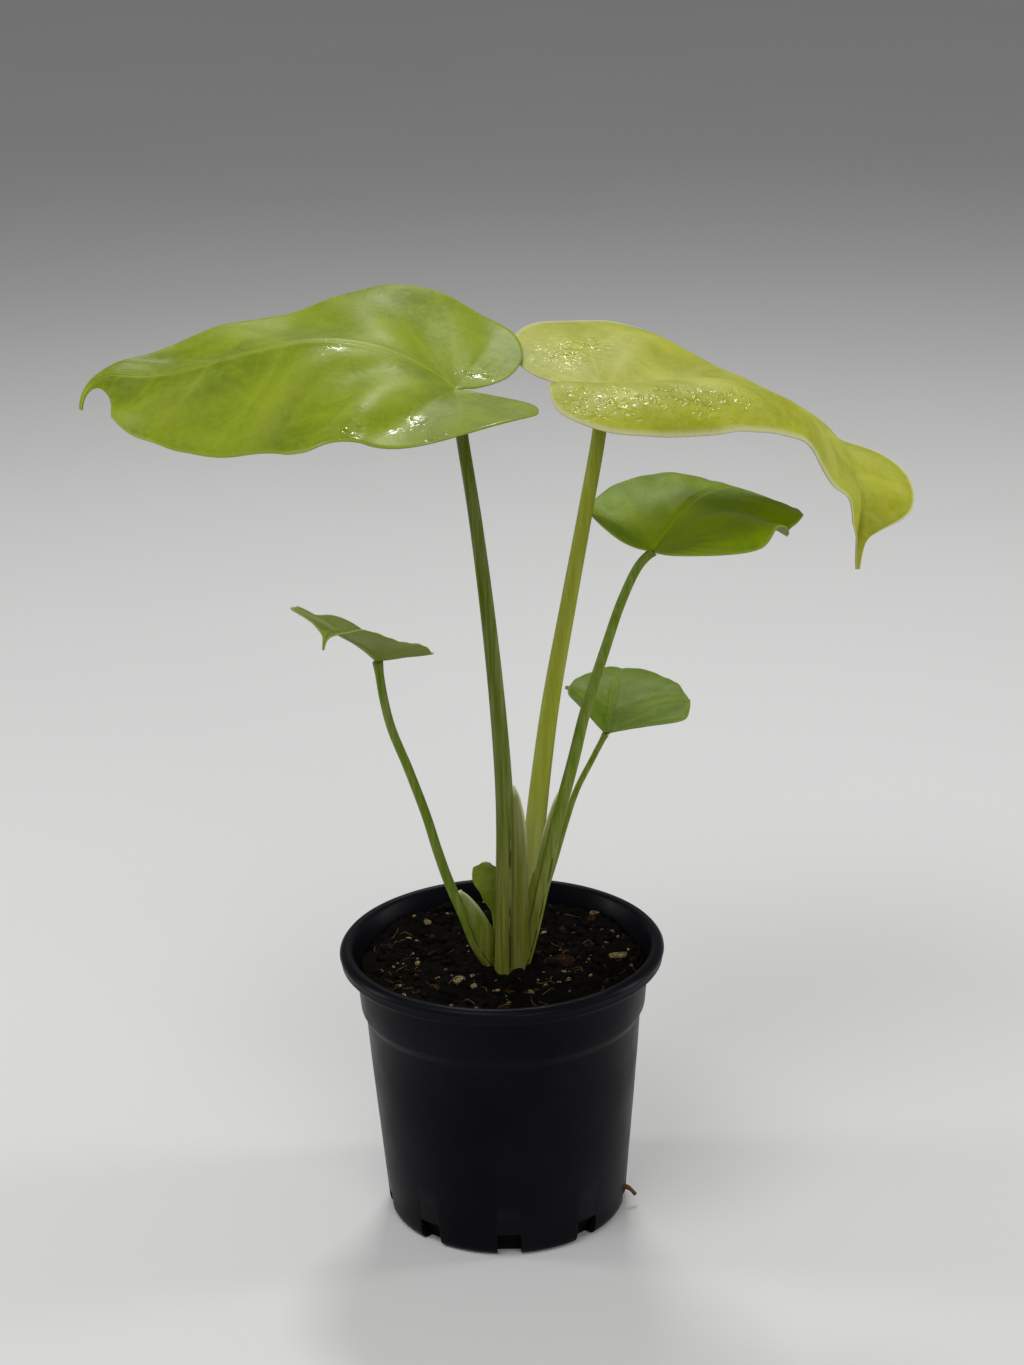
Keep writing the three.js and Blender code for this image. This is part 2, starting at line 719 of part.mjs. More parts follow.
// Soil body: a bumpy top over the pot's inside shape, one gap smaller all round
function soilBody() {
  const side = [
    [innerRadiusAt(SOIL_Z - 2) - GAP - 0.1, SOIL_Z - 2],
    [innerRadiusAt(BAND_BOTTOM_Z) - GAP - 0.1, BAND_BOTTOM_Z + 0.2],
    [innerRadiusAt(SHOULDER_Z) - GAP - 0.1, SHOULDER_Z + 0.2],
    [innerRadiusAt(CORNER_Z) - GAP - 0.1, CORNER_Z + 0.3],
    [FOOT_RADIUS - 1.2, FLOOR + GAP],
  ];
  const points = [V(0, 0, soilHeight(0, 0))];
  const triangles = [];
  const ringPoint = (r, k, z) => {
    const angle = (2 * Math.PI * k) / SOIL_SECTORS;
    const x = r * Math.cos(angle);
    const y = r * Math.sin(angle);
    points.push(V(x, y, z ?? soilHeight(x, y)));
  };
  const topRadius = innerRadiusAt(SOIL_Z) - GAP - 0.1;
  for (let i = 1; i <= SOIL_RINGS; i++) {
    for (let k = 0; k < SOIL_SECTORS; k++) ringPoint((topRadius * i) / SOIL_RINGS, k);
  }
  for (const [r, z] of side) {
    for (let k = 0; k < SOIL_SECTORS; k++) ringPoint(r, k, z);
  }
  points.push(V(0, 0, FLOOR + GAP));
  const rings = SOIL_RINGS + side.length;
  for (let k = 0; k < SOIL_SECTORS; k++) {
    const next = (k + 1) % SOIL_SECTORS;
    triangles.push(0, 1 + k, 1 + next);
    for (let i = 0; i < rings - 1; i++) {
      const a = 1 + i * SOIL_SECTORS + k;
      const b = 1 + i * SOIL_SECTORS + next;
      triangles.push(a, a + SOIL_SECTORS, b + SOIL_SECTORS, a, b + SOIL_SECTORS, b);
    }
    const low = 1 + (rings - 1) * SOIL_SECTORS;
    triangles.push(points.length - 1, low + next, low + k);
  }
  return solidOf(geometryFrom(points, triangles));
}

// A faceted lump of the given half-sizes, bedded in the soil's surface
function lump(x, y, sizes, turn, tip, sink) {
  const geometry = new THREE.IcosahedronGeometry(1, 0).scale(...sizes);
  geometry.rotateX(tip).rotateZ(turn);
  return geometry.translate(x, y, soilHeight(x, y) - sink);
}

// The round patches of ground that the stalks and their wings take up: x, y and radius
function footPatches() {
  const patches = [[...FIRST_LEAF.path[0].slice(0, 2), FIRST_LEAF.halfWidths[1] + 2 * HOLE_ROOM]];
  for (const stalk of STALKS) {
    const path = stalkPath(stalk);
    const section = stalkSection(stalk, HOLE_ROOM);
    for (const s of [0, 0.03, 0.06, 0.1, 0.14, 0.18]) {
      const { x, y, z } = path.getPoint(s);
      if (z > SOIL_Z + 3) continue;
      const radius = section(s)[0];
      patches.push([x, y, radius]);
      for (const wing of stalk.wings) {
        if (wing.from > s) continue;
        patches.push([x + wing.side * wing.reach, y + wing.wrap * wing.reach ** 2, radius]);
      }
    }
  }
  return patches;
}

// One plain hole in the soil round all the stalks
function stalkHole() {
  const [x, y] = CROWN_CENTRE;
  const patches = footPatches();
  const outline = new THREE.Shape();
  for (let i = 0; i < HOLE_SIDES; i++) {
    const angle = (2 * Math.PI * i) / HOLE_SIDES;
    const c = Math.cos(angle);
    const s = Math.sin(angle);
    const reaches = patches.map(([px, py, radius]) => {
      const along = (px - x) * c + (py - y) * s;
      const aside = (py - y) * c - (px - x) * s;
      return Math.abs(aside) < radius ? along + Math.sqrt(radius ** 2 - aside ** 2) : 0;
    });
    const reach = Math.max(...reaches) + GAP;
    if (i === 0) outline.moveTo(x + reach * c, y + reach * s);
    else outline.lineTo(x + reach * c, y + reach * s);
  }
  const bottom = PLANT_FOOT_Z - 1.7 * GAP;
  const hole = new THREE.ExtrudeGeometry(outline, { depth: POT_HEIGHT - bottom, bevelEnabled: false });
  return solidOf(hole.translate(0, 0, bottom));
}

function makeSoil() {
  const random = seeded(5);
  let soil = soilBody();
  for (let i = 0; i < GRAIN_COUNT + CHIP_COUNT; i++) {
    const reach = SOIL_REACH * Math.sqrt(NEAREST + (1 - NEAREST) * random());
    const turn = 2 * Math.PI * random();
    const size = 0.9 + 1.5 * random() ** 2;
    const isChip = i >= GRAIN_COUNT;
    const sizes = isChip ? [2.2 * size, 1.1 * size, 0.7 * size] : [size, 0.85 * size, 0.8 * size];
    const spin = 2 * Math.PI * random();
    const tip = 0.6 * (random() - 0.5);
    const sink = 0.2 * size;
    const grain = lump(reach * Math.cos(turn), reach * Math.sin(turn), sizes, spin, tip, sink);
    soil = soil.add(solidOf(grain));
  }
  return soil.subtract(makeCrown(GAP).add(stalkHole()));
}

// The whole plant in its pot

const plant = new THREE.Group();

function place(name, geometry, color, roughness) {
  const material = new THREE.MeshStandardMaterial({ color, roughness, metalness: 0 });
  const mesh = new THREE.Mesh(geometry, material);
  mesh.name = name;
  plant.add(mesh);
}

place("pot", geometryOf(makePot()), 0x14151a, 0.42);

const taken = [];
for (const stalk of STALKS) {
  const leaf = LEAVES.find((one) => one.name === stalk.name);
  const room = solidOf(makeBlade(leaf, BLADE_THICKNESS + 2 * GAP));
  let solid = stalkSolid(stalk).subtract(room);
  for (const neighbour of taken) solid = solid.subtract(neighbour);
  place(`stalk_${stalk.name}`, geometryOf(solid), stalk.color, 0.45);
  taken.push(stalkSolid(stalk, GAP));
}

let firstLeaf = makeFirstLeaf();
for (const neighbour of taken) firstLeaf = firstLeaf.subtract(neighbour);
place("first_leaf", geometryOf(firstLeaf), FIRST_LEAF.color, 0.45);

for (const leaf of LEAVES) {
  place(`blade_${leaf.name}`, makeBlade(leaf, BLADE_THICKNESS), leaf.color, 0.3);
}

place("crown", geometryOf(makeCrown()), 0x6b5a34, 0.8);
place("soil", geometryOf(makeSoil()), 0x1a1613, 0.95);

export default plant;
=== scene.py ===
"""Looks of a young climbing aroid with golden heart-shaped leaves in its black nursery pot.

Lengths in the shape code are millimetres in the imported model's frame; meshes are in metres.
"""

import math
from collections import namedtuple

import bpy
import numpy as np
from mathutils import Matrix, Vector


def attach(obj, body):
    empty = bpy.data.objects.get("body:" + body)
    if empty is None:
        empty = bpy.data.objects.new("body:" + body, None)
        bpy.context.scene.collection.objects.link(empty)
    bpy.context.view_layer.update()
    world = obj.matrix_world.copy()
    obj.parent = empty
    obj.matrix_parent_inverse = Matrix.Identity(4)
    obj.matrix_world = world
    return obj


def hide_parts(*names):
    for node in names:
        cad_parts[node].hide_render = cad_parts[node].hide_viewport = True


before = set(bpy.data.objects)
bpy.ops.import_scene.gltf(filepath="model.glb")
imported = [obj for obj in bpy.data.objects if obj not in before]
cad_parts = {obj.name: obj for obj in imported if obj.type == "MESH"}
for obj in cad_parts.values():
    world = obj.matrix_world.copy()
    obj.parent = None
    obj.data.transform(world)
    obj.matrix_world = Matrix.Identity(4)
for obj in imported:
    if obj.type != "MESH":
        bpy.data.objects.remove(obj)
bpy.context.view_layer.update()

MM = 0.001
TURN = 2 * math.pi


# Materials


def srgb(r, g, b):
    """A display colour from 0 to 255 as a linear colour."""
    def one(c):
        c /= 255
        return c / 12.92 if c < 0.04045 else ((c + 0.055) / 1.055) ** 2.4

    return one(r), one(g), one(b), 1.0


class Nodes:
    """A material's nodes, added and linked in short calls."""

    def __init__(self, name):
        self.material = bpy.data.materials.new(name)
        self.material.use_nodes = True
        self.tree = self.material.node_tree
        self.shader = self.tree.nodes["Principled BSDF"]

    def add(self, kind, settings=None, **inputs):
        node = self.tree.nodes.new(kind)
        for key, value in (settings or {}).items():
            setattr(node, key, value)
        for key, value in inputs.items():
            self.put(node.inputs[key.replace("_", " ")], value)
        return node

    def put(self, socket, value):
        if isinstance(value, bpy.types.NodeSocket):
            self.tree.links.new(value, socket)
        else:
            socket.default_value = value

    def math(self, operation, a, b):
        node = self.add("ShaderNodeMath", {"operation": operation})
        for socket, value in zip(node.inputs, (a, b)):
            self.put(socket, value)
        return node.outputs[0]

    def scaled(self, value, share):
        return self.math("MULTIPLY", value, share)

    def mix(self, factor, a, b):
        node = self.add("ShaderNodeMix", {"data_type": "RGBA", "blend_type": "MIX", "clamp_result": True})
        self.put(node.inputs[0], factor)
        self.put(node.inputs[6], a)
        self.put(node.inputs[7], b)
        return node.outputs[2]

    def noise(self, scale, detail=4.0, roughness=0.55, distortion=0.0, vector=None):
        node = self.add("ShaderNodeTexNoise", Scale=scale, Detail=detail, Roughness=roughness)
        node.inputs["Distortion"].default_value = distortion
        self.put(node.inputs["Vector"], vector or self.position())
        return node.outputs["Fac"]

    def streaks(self, level, upright, detail, roughness=0.6, distortion=0.0):
        """Noise with one scale in the level directions and another upright."""
        node = self.add("ShaderNodeMapping")
        self.put(node.inputs["Vector"], self.position())
        node.inputs["Scale"].default_value = (level, level, upright)
        return self.noise(1.0, detail, roughness, distortion, node.outputs[0])

    def ramp(self, value, low, high, to_low=0.0, to_high=1.0):
        node = self.add("ShaderNodeMapRange", {"interpolation_type": "SMOOTHSTEP"})
        for socket, v in zip(node.inputs, (value, low, high, to_low, to_high)):
            self.put(socket, v)
        return node.outputs[0]

    def position(self):
        return self.add("ShaderNodeTexCoord").outputs["Object"]

    def attribute(self, name):
        return self.add("ShaderNodeAttribute", {"attribute_name": name}).outputs["Fac"]

    def bump(self, height, distance, strength, normal=None):
        node = self.add("ShaderNodeBump", Height=height, Distance=distance)
        self.put(node.inputs["Strength"], strength)
        if normal:
            self.put(node.inputs["Normal"], normal)
        return node.outputs[0]

    def finish(self, color, roughness, normal, **fixed):
        self.put(self.shader.inputs["Base Color"], color)
        self.put(self.shader.inputs["Roughness"], roughness)
        if normal:
            self.put(self.shader.inputs["Normal"], normal)
        for key, value in fixed.items():
            self.shader.inputs[key.replace("_", " ")].default_value = value
        return self.material


def leaf_material(name, deep, fresh, pale, under, edge, gloss, drop_scale=210, film=1.0):
    """Waxy leaf skin: soft green patches, pale veins, a thin pale margin, a painted highlight on the ridge
    crests and wet drops in places.
    """
    m = Nodes(name)
    patches = m.ramp(m.noise(38, detail=3, roughness=0.5, distortion=0.6), 0.35, 0.66)
    color = m.mix(patches, deep, fresh)
    mottle = m.ramp(m.noise(420, roughness=0.6), 0.3, 0.75)
    color = m.mix(m.scaled(mottle, 0.22), color, pale)
    # Painted highlight: the crests of the broad ridges are mixed toward the pale colour
    color = m.mix(m.scaled(m.attribute("light"), 0.75), color, pale)
    color = m.mix(m.scaled(m.attribute("vein"), 0.5), color, pale)
    color = m.mix(m.attribute("margin"), color, edge)
    color = m.mix(m.attribute("back"), color, under)
    freckles = m.ramp(m.noise(900, detail=2, roughness=0.5), 0.7, 0.74)
    color = m.mix(m.scaled(freckles, 0.2), color, deep)

    drop_shapes = m.ramp(m.noise(drop_scale, detail=3, roughness=0.6, distortion=0.9), 0.46, 0.56)
    drops = m.math("MULTIPLY", m.attribute("wet"), drop_shapes)
    rough = m.math("ADD", gloss, m.scaled(m.noise(160, detail=3), 0.16))
    rough = m.math("MAXIMUM", rough, m.scaled(m.attribute("back"), 0.55))
    rough = m.math("SUBTRACT", rough, m.scaled(drops, 0.34))
    rough = m.math("MAXIMUM", rough, 0.07)

    grain = m.bump(m.noise(1500, detail=3, roughness=0.6), 0.00012, 0.35)
    puckers = m.bump(m.noise(260, detail=3, distortion=0.8), 0.0006, 0.3, grain)
    pool_noise = m.noise(1.3 * drop_scale, detail=2, roughness=0.5, distortion=0.6)
    pools = m.bump(pool_noise, 0.0014, drops, puckers)
    m.put(m.shader.inputs["Coat Weight"], m.scaled(drops, film))
    m.put(m.shader.inputs["Coat Normal"], pools)
    return m.finish(color, rough, pools, Subsurface_Weight=0.1, Subsurface_Scale=0.002,
                    Specular_IOR_Level=0.16, Coat_Roughness=0.05)


def stalk_material(name, low, high, cream):
    """Smooth stalk skin with fine lengthwise streaks, dark painted shade along the sheath slits and a cream
    sheath edge.
    """
    m = Nodes(name)
    color = m.mix(m.attribute("rise"), low, high)
    streaks = m.ramp(m.streaks(900, 30, detail=4, distortion=0.1), 0.3, 0.75)
    color = m.mix(m.scaled(streaks, 0.16), color, cream)
    broken = m.ramp(m.streaks(420, 60, detail=3, distortion=0.4), 0.42, 0.5)
    # Painted shade: a broken dark line along the sheath's slit
    color = m.mix(m.math("MULTIPLY", broken, m.attribute("slit")), color, SLIT_SHADE)
    color = m.mix(m.attribute("cream"), color, cream)
    rough = m.ramp(m.noise(300, detail=3), 0.2, 0.8, 0.34, 0.5)
    grain = m.bump(m.streaks(1600, 60, detail=4, distortion=0.1), 0.00015, 0.5)
    return m.finish(color, rough, grain, Subsurface_Weight=0.08, Subsurface_Scale=0.002,
                    Specular_IOR_Level=0.09)


def pot_material():
    """Black plastic with a little dust and faint turning lines."""
    m = Nodes("black_nursery_plastic")
    cloud = m.ramp(m.noise(22), 0.3, 0.75)
    color = m.mix(cloud, (0.0022, 0.0024, 0.004, 1), (0.005, 0.0054, 0.0075, 1))
    dust = m.ramp(m.noise(700, roughness=0.7), 0.62, 0.8)
    color = m.mix(m.scaled(dust, 0.1), color, (0.03, 0.029, 0.025, 1))
    rough = m.ramp(m.noise(60, roughness=0.6), 0.25, 0.75, 0.3, 0.42)
    turned = m.bump(m.streaks(12, 900, detail=2, roughness=0.5), 0.00004, 0.5)
    skin = m.bump(m.noise(1400, detail=3, roughness=0.6), 0.00006, 0.5, turned)
    return m.finish(color, rough, skin, Specular_IOR_Level=0.05)


def crumb_material(name, dark, mid, light, light_from, scale=240):
    """A rough crumbly skin: dark to mid in patches, with light specks above a noise level."""
    m = Nodes(name)
    color = m.mix(m.ramp(m.noise(scale, detail=5, roughness=0.65), 0.3, 0.7), dark, mid)
    specks = m.ramp(m.noise(scale * 3.1, roughness=0.6), light_from, light_from + 0.12)
    color = m.mix(specks, color, light)
    rough = m.ramp(m.noise(scale * 2), 0.2, 0.8, 0.75, 0.98)
    bump = m.bump(m.noise(scale * 2.4, detail=5, roughness=0.7), 0.0009, 0.9)
    return m.finish(color, rough, bump, Specular_IOR_Level=0.04)


LEAF_SKINS = {
    "great_left": leaf_material(
        "leaf_lime", deep=srgb(104, 124, 0), fresh=srgb(128, 146, 10), pale=srgb(160, 172, 60),
        under=srgb(112, 128, 36), edge=srgb(146, 162, 50), gloss=0.4),
    "great_right": leaf_material(
        "leaf_golden", deep=srgb(146, 152, 20), fresh=srgb(168, 173, 44), pale=srgb(198, 198, 100),
        under=srgb(155, 158, 76), edge=srgb(222, 219, 196), gloss=0.42, drop_scale=380, film=0.3),
    "middle_right": leaf_material(
        "leaf_green", deep=srgb(112, 140, 0), fresh=srgb(134, 160, 0), pale=srgb(164, 182, 50),
        under=srgb(110, 128, 40), edge=srgb(140, 156, 70), gloss=0.44),
    "small_right": leaf_material(
        "leaf_green_small", deep=srgb(82, 108, 0), fresh=srgb(98, 122, 4), pale=srgb(140, 156, 60),
        under=srgb(100, 120, 36), edge=srgb(128, 148, 60), gloss=0.44),
    "small_left": leaf_material(
        "leaf_young", deep=srgb(100, 120, 10), fresh=srgb(124, 140, 40), pale=srgb(166, 176, 104),
        under=srgb(116, 130, 46), edge=srgb(155, 166, 100), gloss=0.42),
}
CREAM = srgb(206, 206, 160)
GOLDEN_CREAM = srgb(196, 198, 140)
# Painted shade for the sheath slits
SLIT_SHADE = srgb(30, 26, 4)
STALK_SKINS = {
    "great_left": stalk_material("stalk_olive", srgb(92, 96, 0), srgb(76, 92, 0), CREAM),
    "great_right": stalk_material("stalk_golden", srgb(166, 170, 100), srgb(134, 142, 28), GOLDEN_CREAM),
    "middle_right": stalk_material("stalk_deep", srgb(104, 112, 20), srgb(88, 112, 0), CREAM),
    "small_right": stalk_material("stalk_fine", srgb(94, 104, 6), srgb(98, 118, 0), CREAM),
    "small_left": stalk_material("stalk_left", srgb(98, 104, 6), srgb(88, 110, 2), CREAM),
}
POT_SKIN = pot_material()
SOIL_SKIN = crumb_material(
    "soil_mix", (0.001, 0.0009, 0.0007, 1), (0.005, 0.0038, 0.0026, 1), (0.03, 0.022, 0.012, 1), 0.7)
PERLITE_SKIN = crumb_material(
    "perlite", srgb(58, 46, 22), srgb(142, 122, 76), srgb(212, 200, 160), 0.55, scale=620)
BARK_SKIN = crumb_material("bark_chip", srgb(16, 10, 5), srgb(52, 31, 15), srgb(112, 84, 48), 0.6, scale=420)
FIBRE_SKIN = crumb_material("fibre", srgb(60, 46, 28), srgb(104, 84, 54), srgb(150, 128, 90), 0.6, scale=400)
ROOT_SKIN = crumb_material(
    "root_skin", srgb(84, 58, 34), srgb(126, 96, 60), srgb(164, 138, 96), 0.62, scale=260)


# Meshes


def piece(name, points, faces, skin, slot, replaces=None, **attributes):
    """A smooth-shaded mesh object that rides on the model; points in mm."""
    mesh = bpy.data.meshes.new(name)
    mesh.from_pydata((np.asarray(points) * MM).tolist(), [], [list(map(int, f)) for f in faces])
    for key, values in attributes.items():
        layer = mesh.attributes.new(key, "FLOAT", "POINT")
        layer.data.foreach_set("value", np.asarray(values, dtype=np.float32))
    mesh.validate()
    mesh.polygons.foreach_set("use_smooth", [True] * len(mesh.polygons))
    mesh.update()
    thing = bpy.data.objects.new(name, mesh)
    bpy.context.scene.collection.objects.link(thing)
    mesh.materials.append(skin)
    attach(thing, "root")
    if replaces:
        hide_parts(replaces)
    return thing


def unit(a):
    return a / np.maximum(np.linalg.norm(a, axis=-1, keepdims=True), 1e-9)


def smooth(x, low, high):
    """0 up to low, 1 from high on, and a smooth step between them."""
    x = np.clip((np.asarray(x, dtype=float) - low) / (high - low), 0, 1)
    return x * x * (3 - 2 * x)


def eased(stations, values, at):
    """Values at some stations, joined by smooth steps."""
    at = np.clip(at, stations[0], stations[-1])
    i = np.clip(np.searchsorted(stations, at, side="right") - 1, 0, len(stations) - 2)
    s, v = np.asarray(stations, dtype=float), np.asarray(values, dtype=float)
    w = smooth((at - s[i]) / (s[i + 1] - s[i]), 0, 1)
    return v[i] * (1 - w) + v[i + 1] * w


def waves(x, y, count, low, high, seed):
    """A smooth random surface of about -1 to 1, made of a few crossing waves."""
    r = np.random.default_rng(seed)
    total = 0
    for _ in range(count):
        f = low + (high - low) * r.random()
        a = TURN * r.random()
        total = total + np.sin(f * (np.cos(a) * x + np.sin(a) * y) + 6.3 * r.random())
    return total / count ** 0.5


def sheet_faces(rows, columns, base=0, flip=False):
    """Faces of two grids of points, one layer after the other, closed round their edge."""
    width, size = columns + 1, (rows + 1) * (columns + 1)
    faces = []
    for i in range(rows):
        for k in range(columns):
            a = base + i * width + k
            quad = [a, a + 1, a + 1 + width, a + width]
            faces.append(quad)
            faces.append([q + size for q in quad[::-1]])
    ring = [base + k for k in range(width)]
    ring += [base + i * width + columns for i in range(1, rows + 1)]
    ring += [base + rows * width + k for k in range(columns - 1, -1, -1)]
    ring += [base + i * width for i in range(rows - 1, 0, -1)]
    faces += [[b, a, a + size, b + size] for a, b in zip(ring, ring[1:] + ring[:1])]
    return [face[::-1] for face in faces] if flip else faces


# Leaf blades: a flat heart with a drip tip, bent to its midrib, folded along it and rippled

# Half outline from the notch round a lobe to the drip tip: share of the length, share of the width
HEART = np.array([
    [0, 0], [-0.1, 0.1], [-0.2, 0.32], [-0.21, 0.62], [-0.09, 0.9], [0.12, 1], [0.36, 0.93],
    [0.6, 0.74], [0.8, 0.47], [0.92, 0.24], [0.98, 0.09], [1.02, 0.035], [1.1, 0.012],
])
VEIN_SLANT = 0.25
PITCH_AT = [0, 0.25, 0.5, 0.75, 0.93, 1.1]
FOLD_AT = [-0.2, 0.15, 0.5, 0.8, 1]
WIDTH_AT = [0, 0.12, 0.5, 0.8, 1.1]
MIDRIB_END = 1.1
MIDRIB_STEPS = 110
CURL_SPAN = 50
# The lobes leave the rest of the blade over a length that grows from the midrib to the margin
MIDRIB_PASSAGE, MARGIN_PASSAGE = 0.002, 0.03
# Short waves along the margin that go with the side veins, and longer ones between them
VEIN_WAVES, LONG_WAVES = 6, 2.3
COLUMN_CROWDING = 1.35
EDGE_THICK, BODY_THICK = 0.3, 0.35
RIB_DEPTH = 0.35
RIDGES = 3.1
FULL_SIZE = 120

# One half of a blade, lengths in mm and angles in degrees; fuller scales its width at mid length
# and toward the tip
Half = namedtuple("Half", "width lobe fold curl fuller")
# A wet spot: the half, the share of the length, mm from the midrib and its radius in mm
Wet = namedtuple("Wet", "side u v radius")

LEAVES = {
    "great_left": {
        "joint": (-10.5, -3, 291), "length": 121, "heading": (174, 175),
        "pitch": (42, 14, -14, -15, 8, -91), "lobe_pitch": 6,
        "left": Half(width=56, lobe=1, fold=(10, -11, -29, -28, -61), curl=-8, fuller=(1, 1.24)),
        "right": Half(width=60, lobe=0.6, fold=(-1, -5, -10, 2, 5), curl=23, fuller=(0.94, 0.96)),
        "ripple": 0.3, "grid": (220, 50), "veins": 15, "quilt": 0.4, "ridge": 2.6, "slot": "leaf_lime",
        "wet": [
            Wet(1, 0.36, 4, 4), Wet(1, 0.27, 34, 5), Wet(1, 0.24, 48, 7), Wet(1, 0.22, 56, 6),
            Wet(1, 0.08, 39, 6), Wet(-1, 0.05, 12, 6), Wet(-1, 0.02, 6, 4), Wet(-1, -0.05, 17, 6),
            Wet(-1, -0.12, 10, 7), Wet(1, -0.03, 52, 5), Wet(1, -0.11, 51, 5),
        ],
    },
    "great_right": {
        "joint": (36.9, 13.1, 285.7), "length": 119, "heading": (19, -2),
        "pitch": (-6, 0, -30, -49, -94, -89), "lobe_pitch": 7,
        "left": Half(width=59, lobe=0.81, fold=(21, 18, 2, 7, 110), curl=-14, fuller=(0.94, 1.44)),
        "right": Half(width=48, lobe=1, fold=(33, 34, 28, 2, -17), curl=-85, fuller=(0.96, 0.96)),
        "ripple": 0.25, "grid": (220, 50), "veins": 15, "quilt": 0.35, "slot": "leaf_golden",
        "rim": 0.955, "lobe_lift": 4.5,
        "wet": [
            Wet(1, -0.03, 27, 8), Wet(1, 0.06, 31, 6), Wet(-1, -0.12, 29, 9), Wet(-1, -0.02, 30, 11),
            Wet(-1, 0.1, 34, 12), Wet(-1, 0.2, 36, 11), Wet(-1, 0.3, 33, 9),
        ],
    },
    "middle_right": {
        "joint": (53.1, 16, 230.2), "length": 76.5, "heading": (60, 35),
        "pitch": (15, 28, 0, -27, -42, -70), "lobe_pitch": 0,
        "left": Half(width=29.5, lobe=0.65, fold=(48, 19, 8, 3, 4), curl=-18, fuller=(1, 1)),
        "right": Half(width=42.5, lobe=0.68, fold=(17, 20, -9, 1, 16), curl=-22, fuller=(0.94, 1.2)),
        "ripple": 0.3, "grid": (180, 40), "veins": 15, "quilt": 0.8, "slot": "leaf_green", "tip": 0.25,
    },
    "small_right": {
        "joint": (37.1, 22.5, 163.8), "length": 49.7, "heading": (81, 79),
        "pitch": (11, 15, 20, 2, -23, -75), "lobe_pitch": -20,
        "left": Half(width=18.4, lobe=0.87, fold=(60, 45, 9, -2, 9), curl=-6, fuller=(1, 1)),
        "right": Half(width=29, lobe=1, fold=(16, 19, 7, -2, 3), curl=-16, fuller=(0.99, 0.99)),
        "ripple": 0.3, "grid": (130, 26), "veins": 11, "quilt": 0.2, "slot": "leaf_green",
    },
    "small_left": {
        "joint": (-38.2, -5, 201.4), "length": 47.4, "heading": (246, 254),
        "pitch": (39, 35, 28, 30, 10, -66), "lobe_pitch": 12,
        "left": Half(width=19.6, lobe=0.95, fold=(16, 15, 6, 10, -3), curl=-14, fuller=(1, 1)),
        "right": Half(width=28.8, lobe=1.04, fold=(33, 27, 23, 22, 27), curl=-8, fuller=(1, 0.96)),
        "ripple": 0.3, "grid": (130, 26), "veins": 11, "quilt": 0.2, "slot": "leaf_young",
    },
}


def half_of(leaf, side):
    return leaf["left"] if side > 0 else leaf["right"]


def heart_at(t):
    """The outline's point at each share t of the way round, by a Catmull-Rom curve."""
    p = (len(HEART) - 1) * np.asarray(t, dtype=float)
    i = np.minimum(p.astype(int), len(HEART) - 2)
    w = (p - i)[..., None]
    a, b = HEART[np.maximum(i - 1, 0)], HEART[i]
    c, d = HEART[i + 1], HEART[np.minimum(i + 2, len(HEART) - 1)]
    out, into = (c - a) / 2, (d - b) / 2
    return (2 * b - 2 * c + out + into) * w ** 3 + (-3 * b + 3 * c - 2 * out - into) * w ** 2 + out * w + b


class Blade:
    """The bent surface of one leaf: u runs along the midrib, v is mm out from it."""

    def __init__(self, leaf):
        self.leaf = leaf
        u = np.linspace(0, MIDRIB_END, MIDRIB_STEPS + 1)
        pitch = np.radians(np.interp(u, PITCH_AT, leaf["pitch"]))
        heading = np.radians(leaf["heading"][0] + (leaf["heading"][1] - leaf["heading"][0]) * u)
        along = np.stack([np.cos(pitch) * np.cos(heading), np.cos(pitch) * np.sin(heading), np.sin(pitch)], 1)
        step = leaf["length"] * MIDRIB_END / MIDRIB_STEPS
        walk = np.cumsum((along[1:] + along[:-1]) * step / 2, axis=0)
        self.u, self.along, self.heading = u, along, heading
        self.points = np.vstack([[0, 0, 0], walk]) + np.array(leaf["joint"], dtype=float)

    def on_midrib(self, values, u):
        return np.stack([np.interp(u, self.u, values[:, k]) for k in range(3)], -1)

    def at(self, u, v, side):
        leaf = self.leaf
        half = half_of(leaf, side)
        u, v = np.broadcast_arrays(np.asarray(u, dtype=float), np.asarray(v, dtype=float))
        passage = MIDRIB_PASSAGE + MARGIN_PASSAGE * smooth(v, 3, 22)
        behind = -passage * np.logaddexp(0, -u / passage) * smooth(0.35 - u, 0, 0.2)
        inside = np.clip(u - behind, 0, MIDRIB_END)
        point, along = self.on_midrib(self.points, inside), unit(self.on_midrib(self.along, inside))
        heading = np.interp(inside, self.u, self.heading)
        behind = behind * leaf["length"]
        back = math.radians(leaf["lobe_pitch"])
        level = math.cos(back) * behind
        lobe = [level * np.cos(heading), level * np.sin(heading), math.sin(back) * behind]
        point = point + np.stack(lobe, -1)
        out = np.stack([-np.sin(heading), np.cos(heading), 0 * heading], -1) * side
        up = np.cross(along, out) * side
        fold = np.radians(eased(FOLD_AT, half.fold, u))
        curl = math.radians(half.curl) / CURL_SPAN
        reach = (np.sin(fold + curl * v) - np.sin(fold)) / curl
        climb = (np.cos(fold) - np.cos(fold + curl * v)) / curl
        share = v / half.width
        short = np.sin(TURN * VEIN_WAVES * (u - VEIN_SLANT * share))
        long = np.sin(TURN * LONG_WAVES * u + 1.5 * side)
        wave = leaf["ripple"] * share * (0.5 * short + 0.4 * long)
        return point + out * reach[..., None] + up * (climb + wave)[..., None]

    def normal(self, u, v, side):
        along = self.at(u + 0.004, v, side) - self.at(u - 0.004, v, side)
        out = self.at(u, v + 0.4, side) - self.at(u, np.maximum(v - 0.4, 0), side)
        return unit(np.cross(along, out) * side)


def open_edges(faces):
    """The directed edges that only one face has."""
    edges = {}
    for face in faces:
        for a, b in zip(face, face[1:] + face[:1]):
            if (b, a) in edges:
                del edges[(b, a)]
            else:
                edges[(a, b)] = True
    return edges


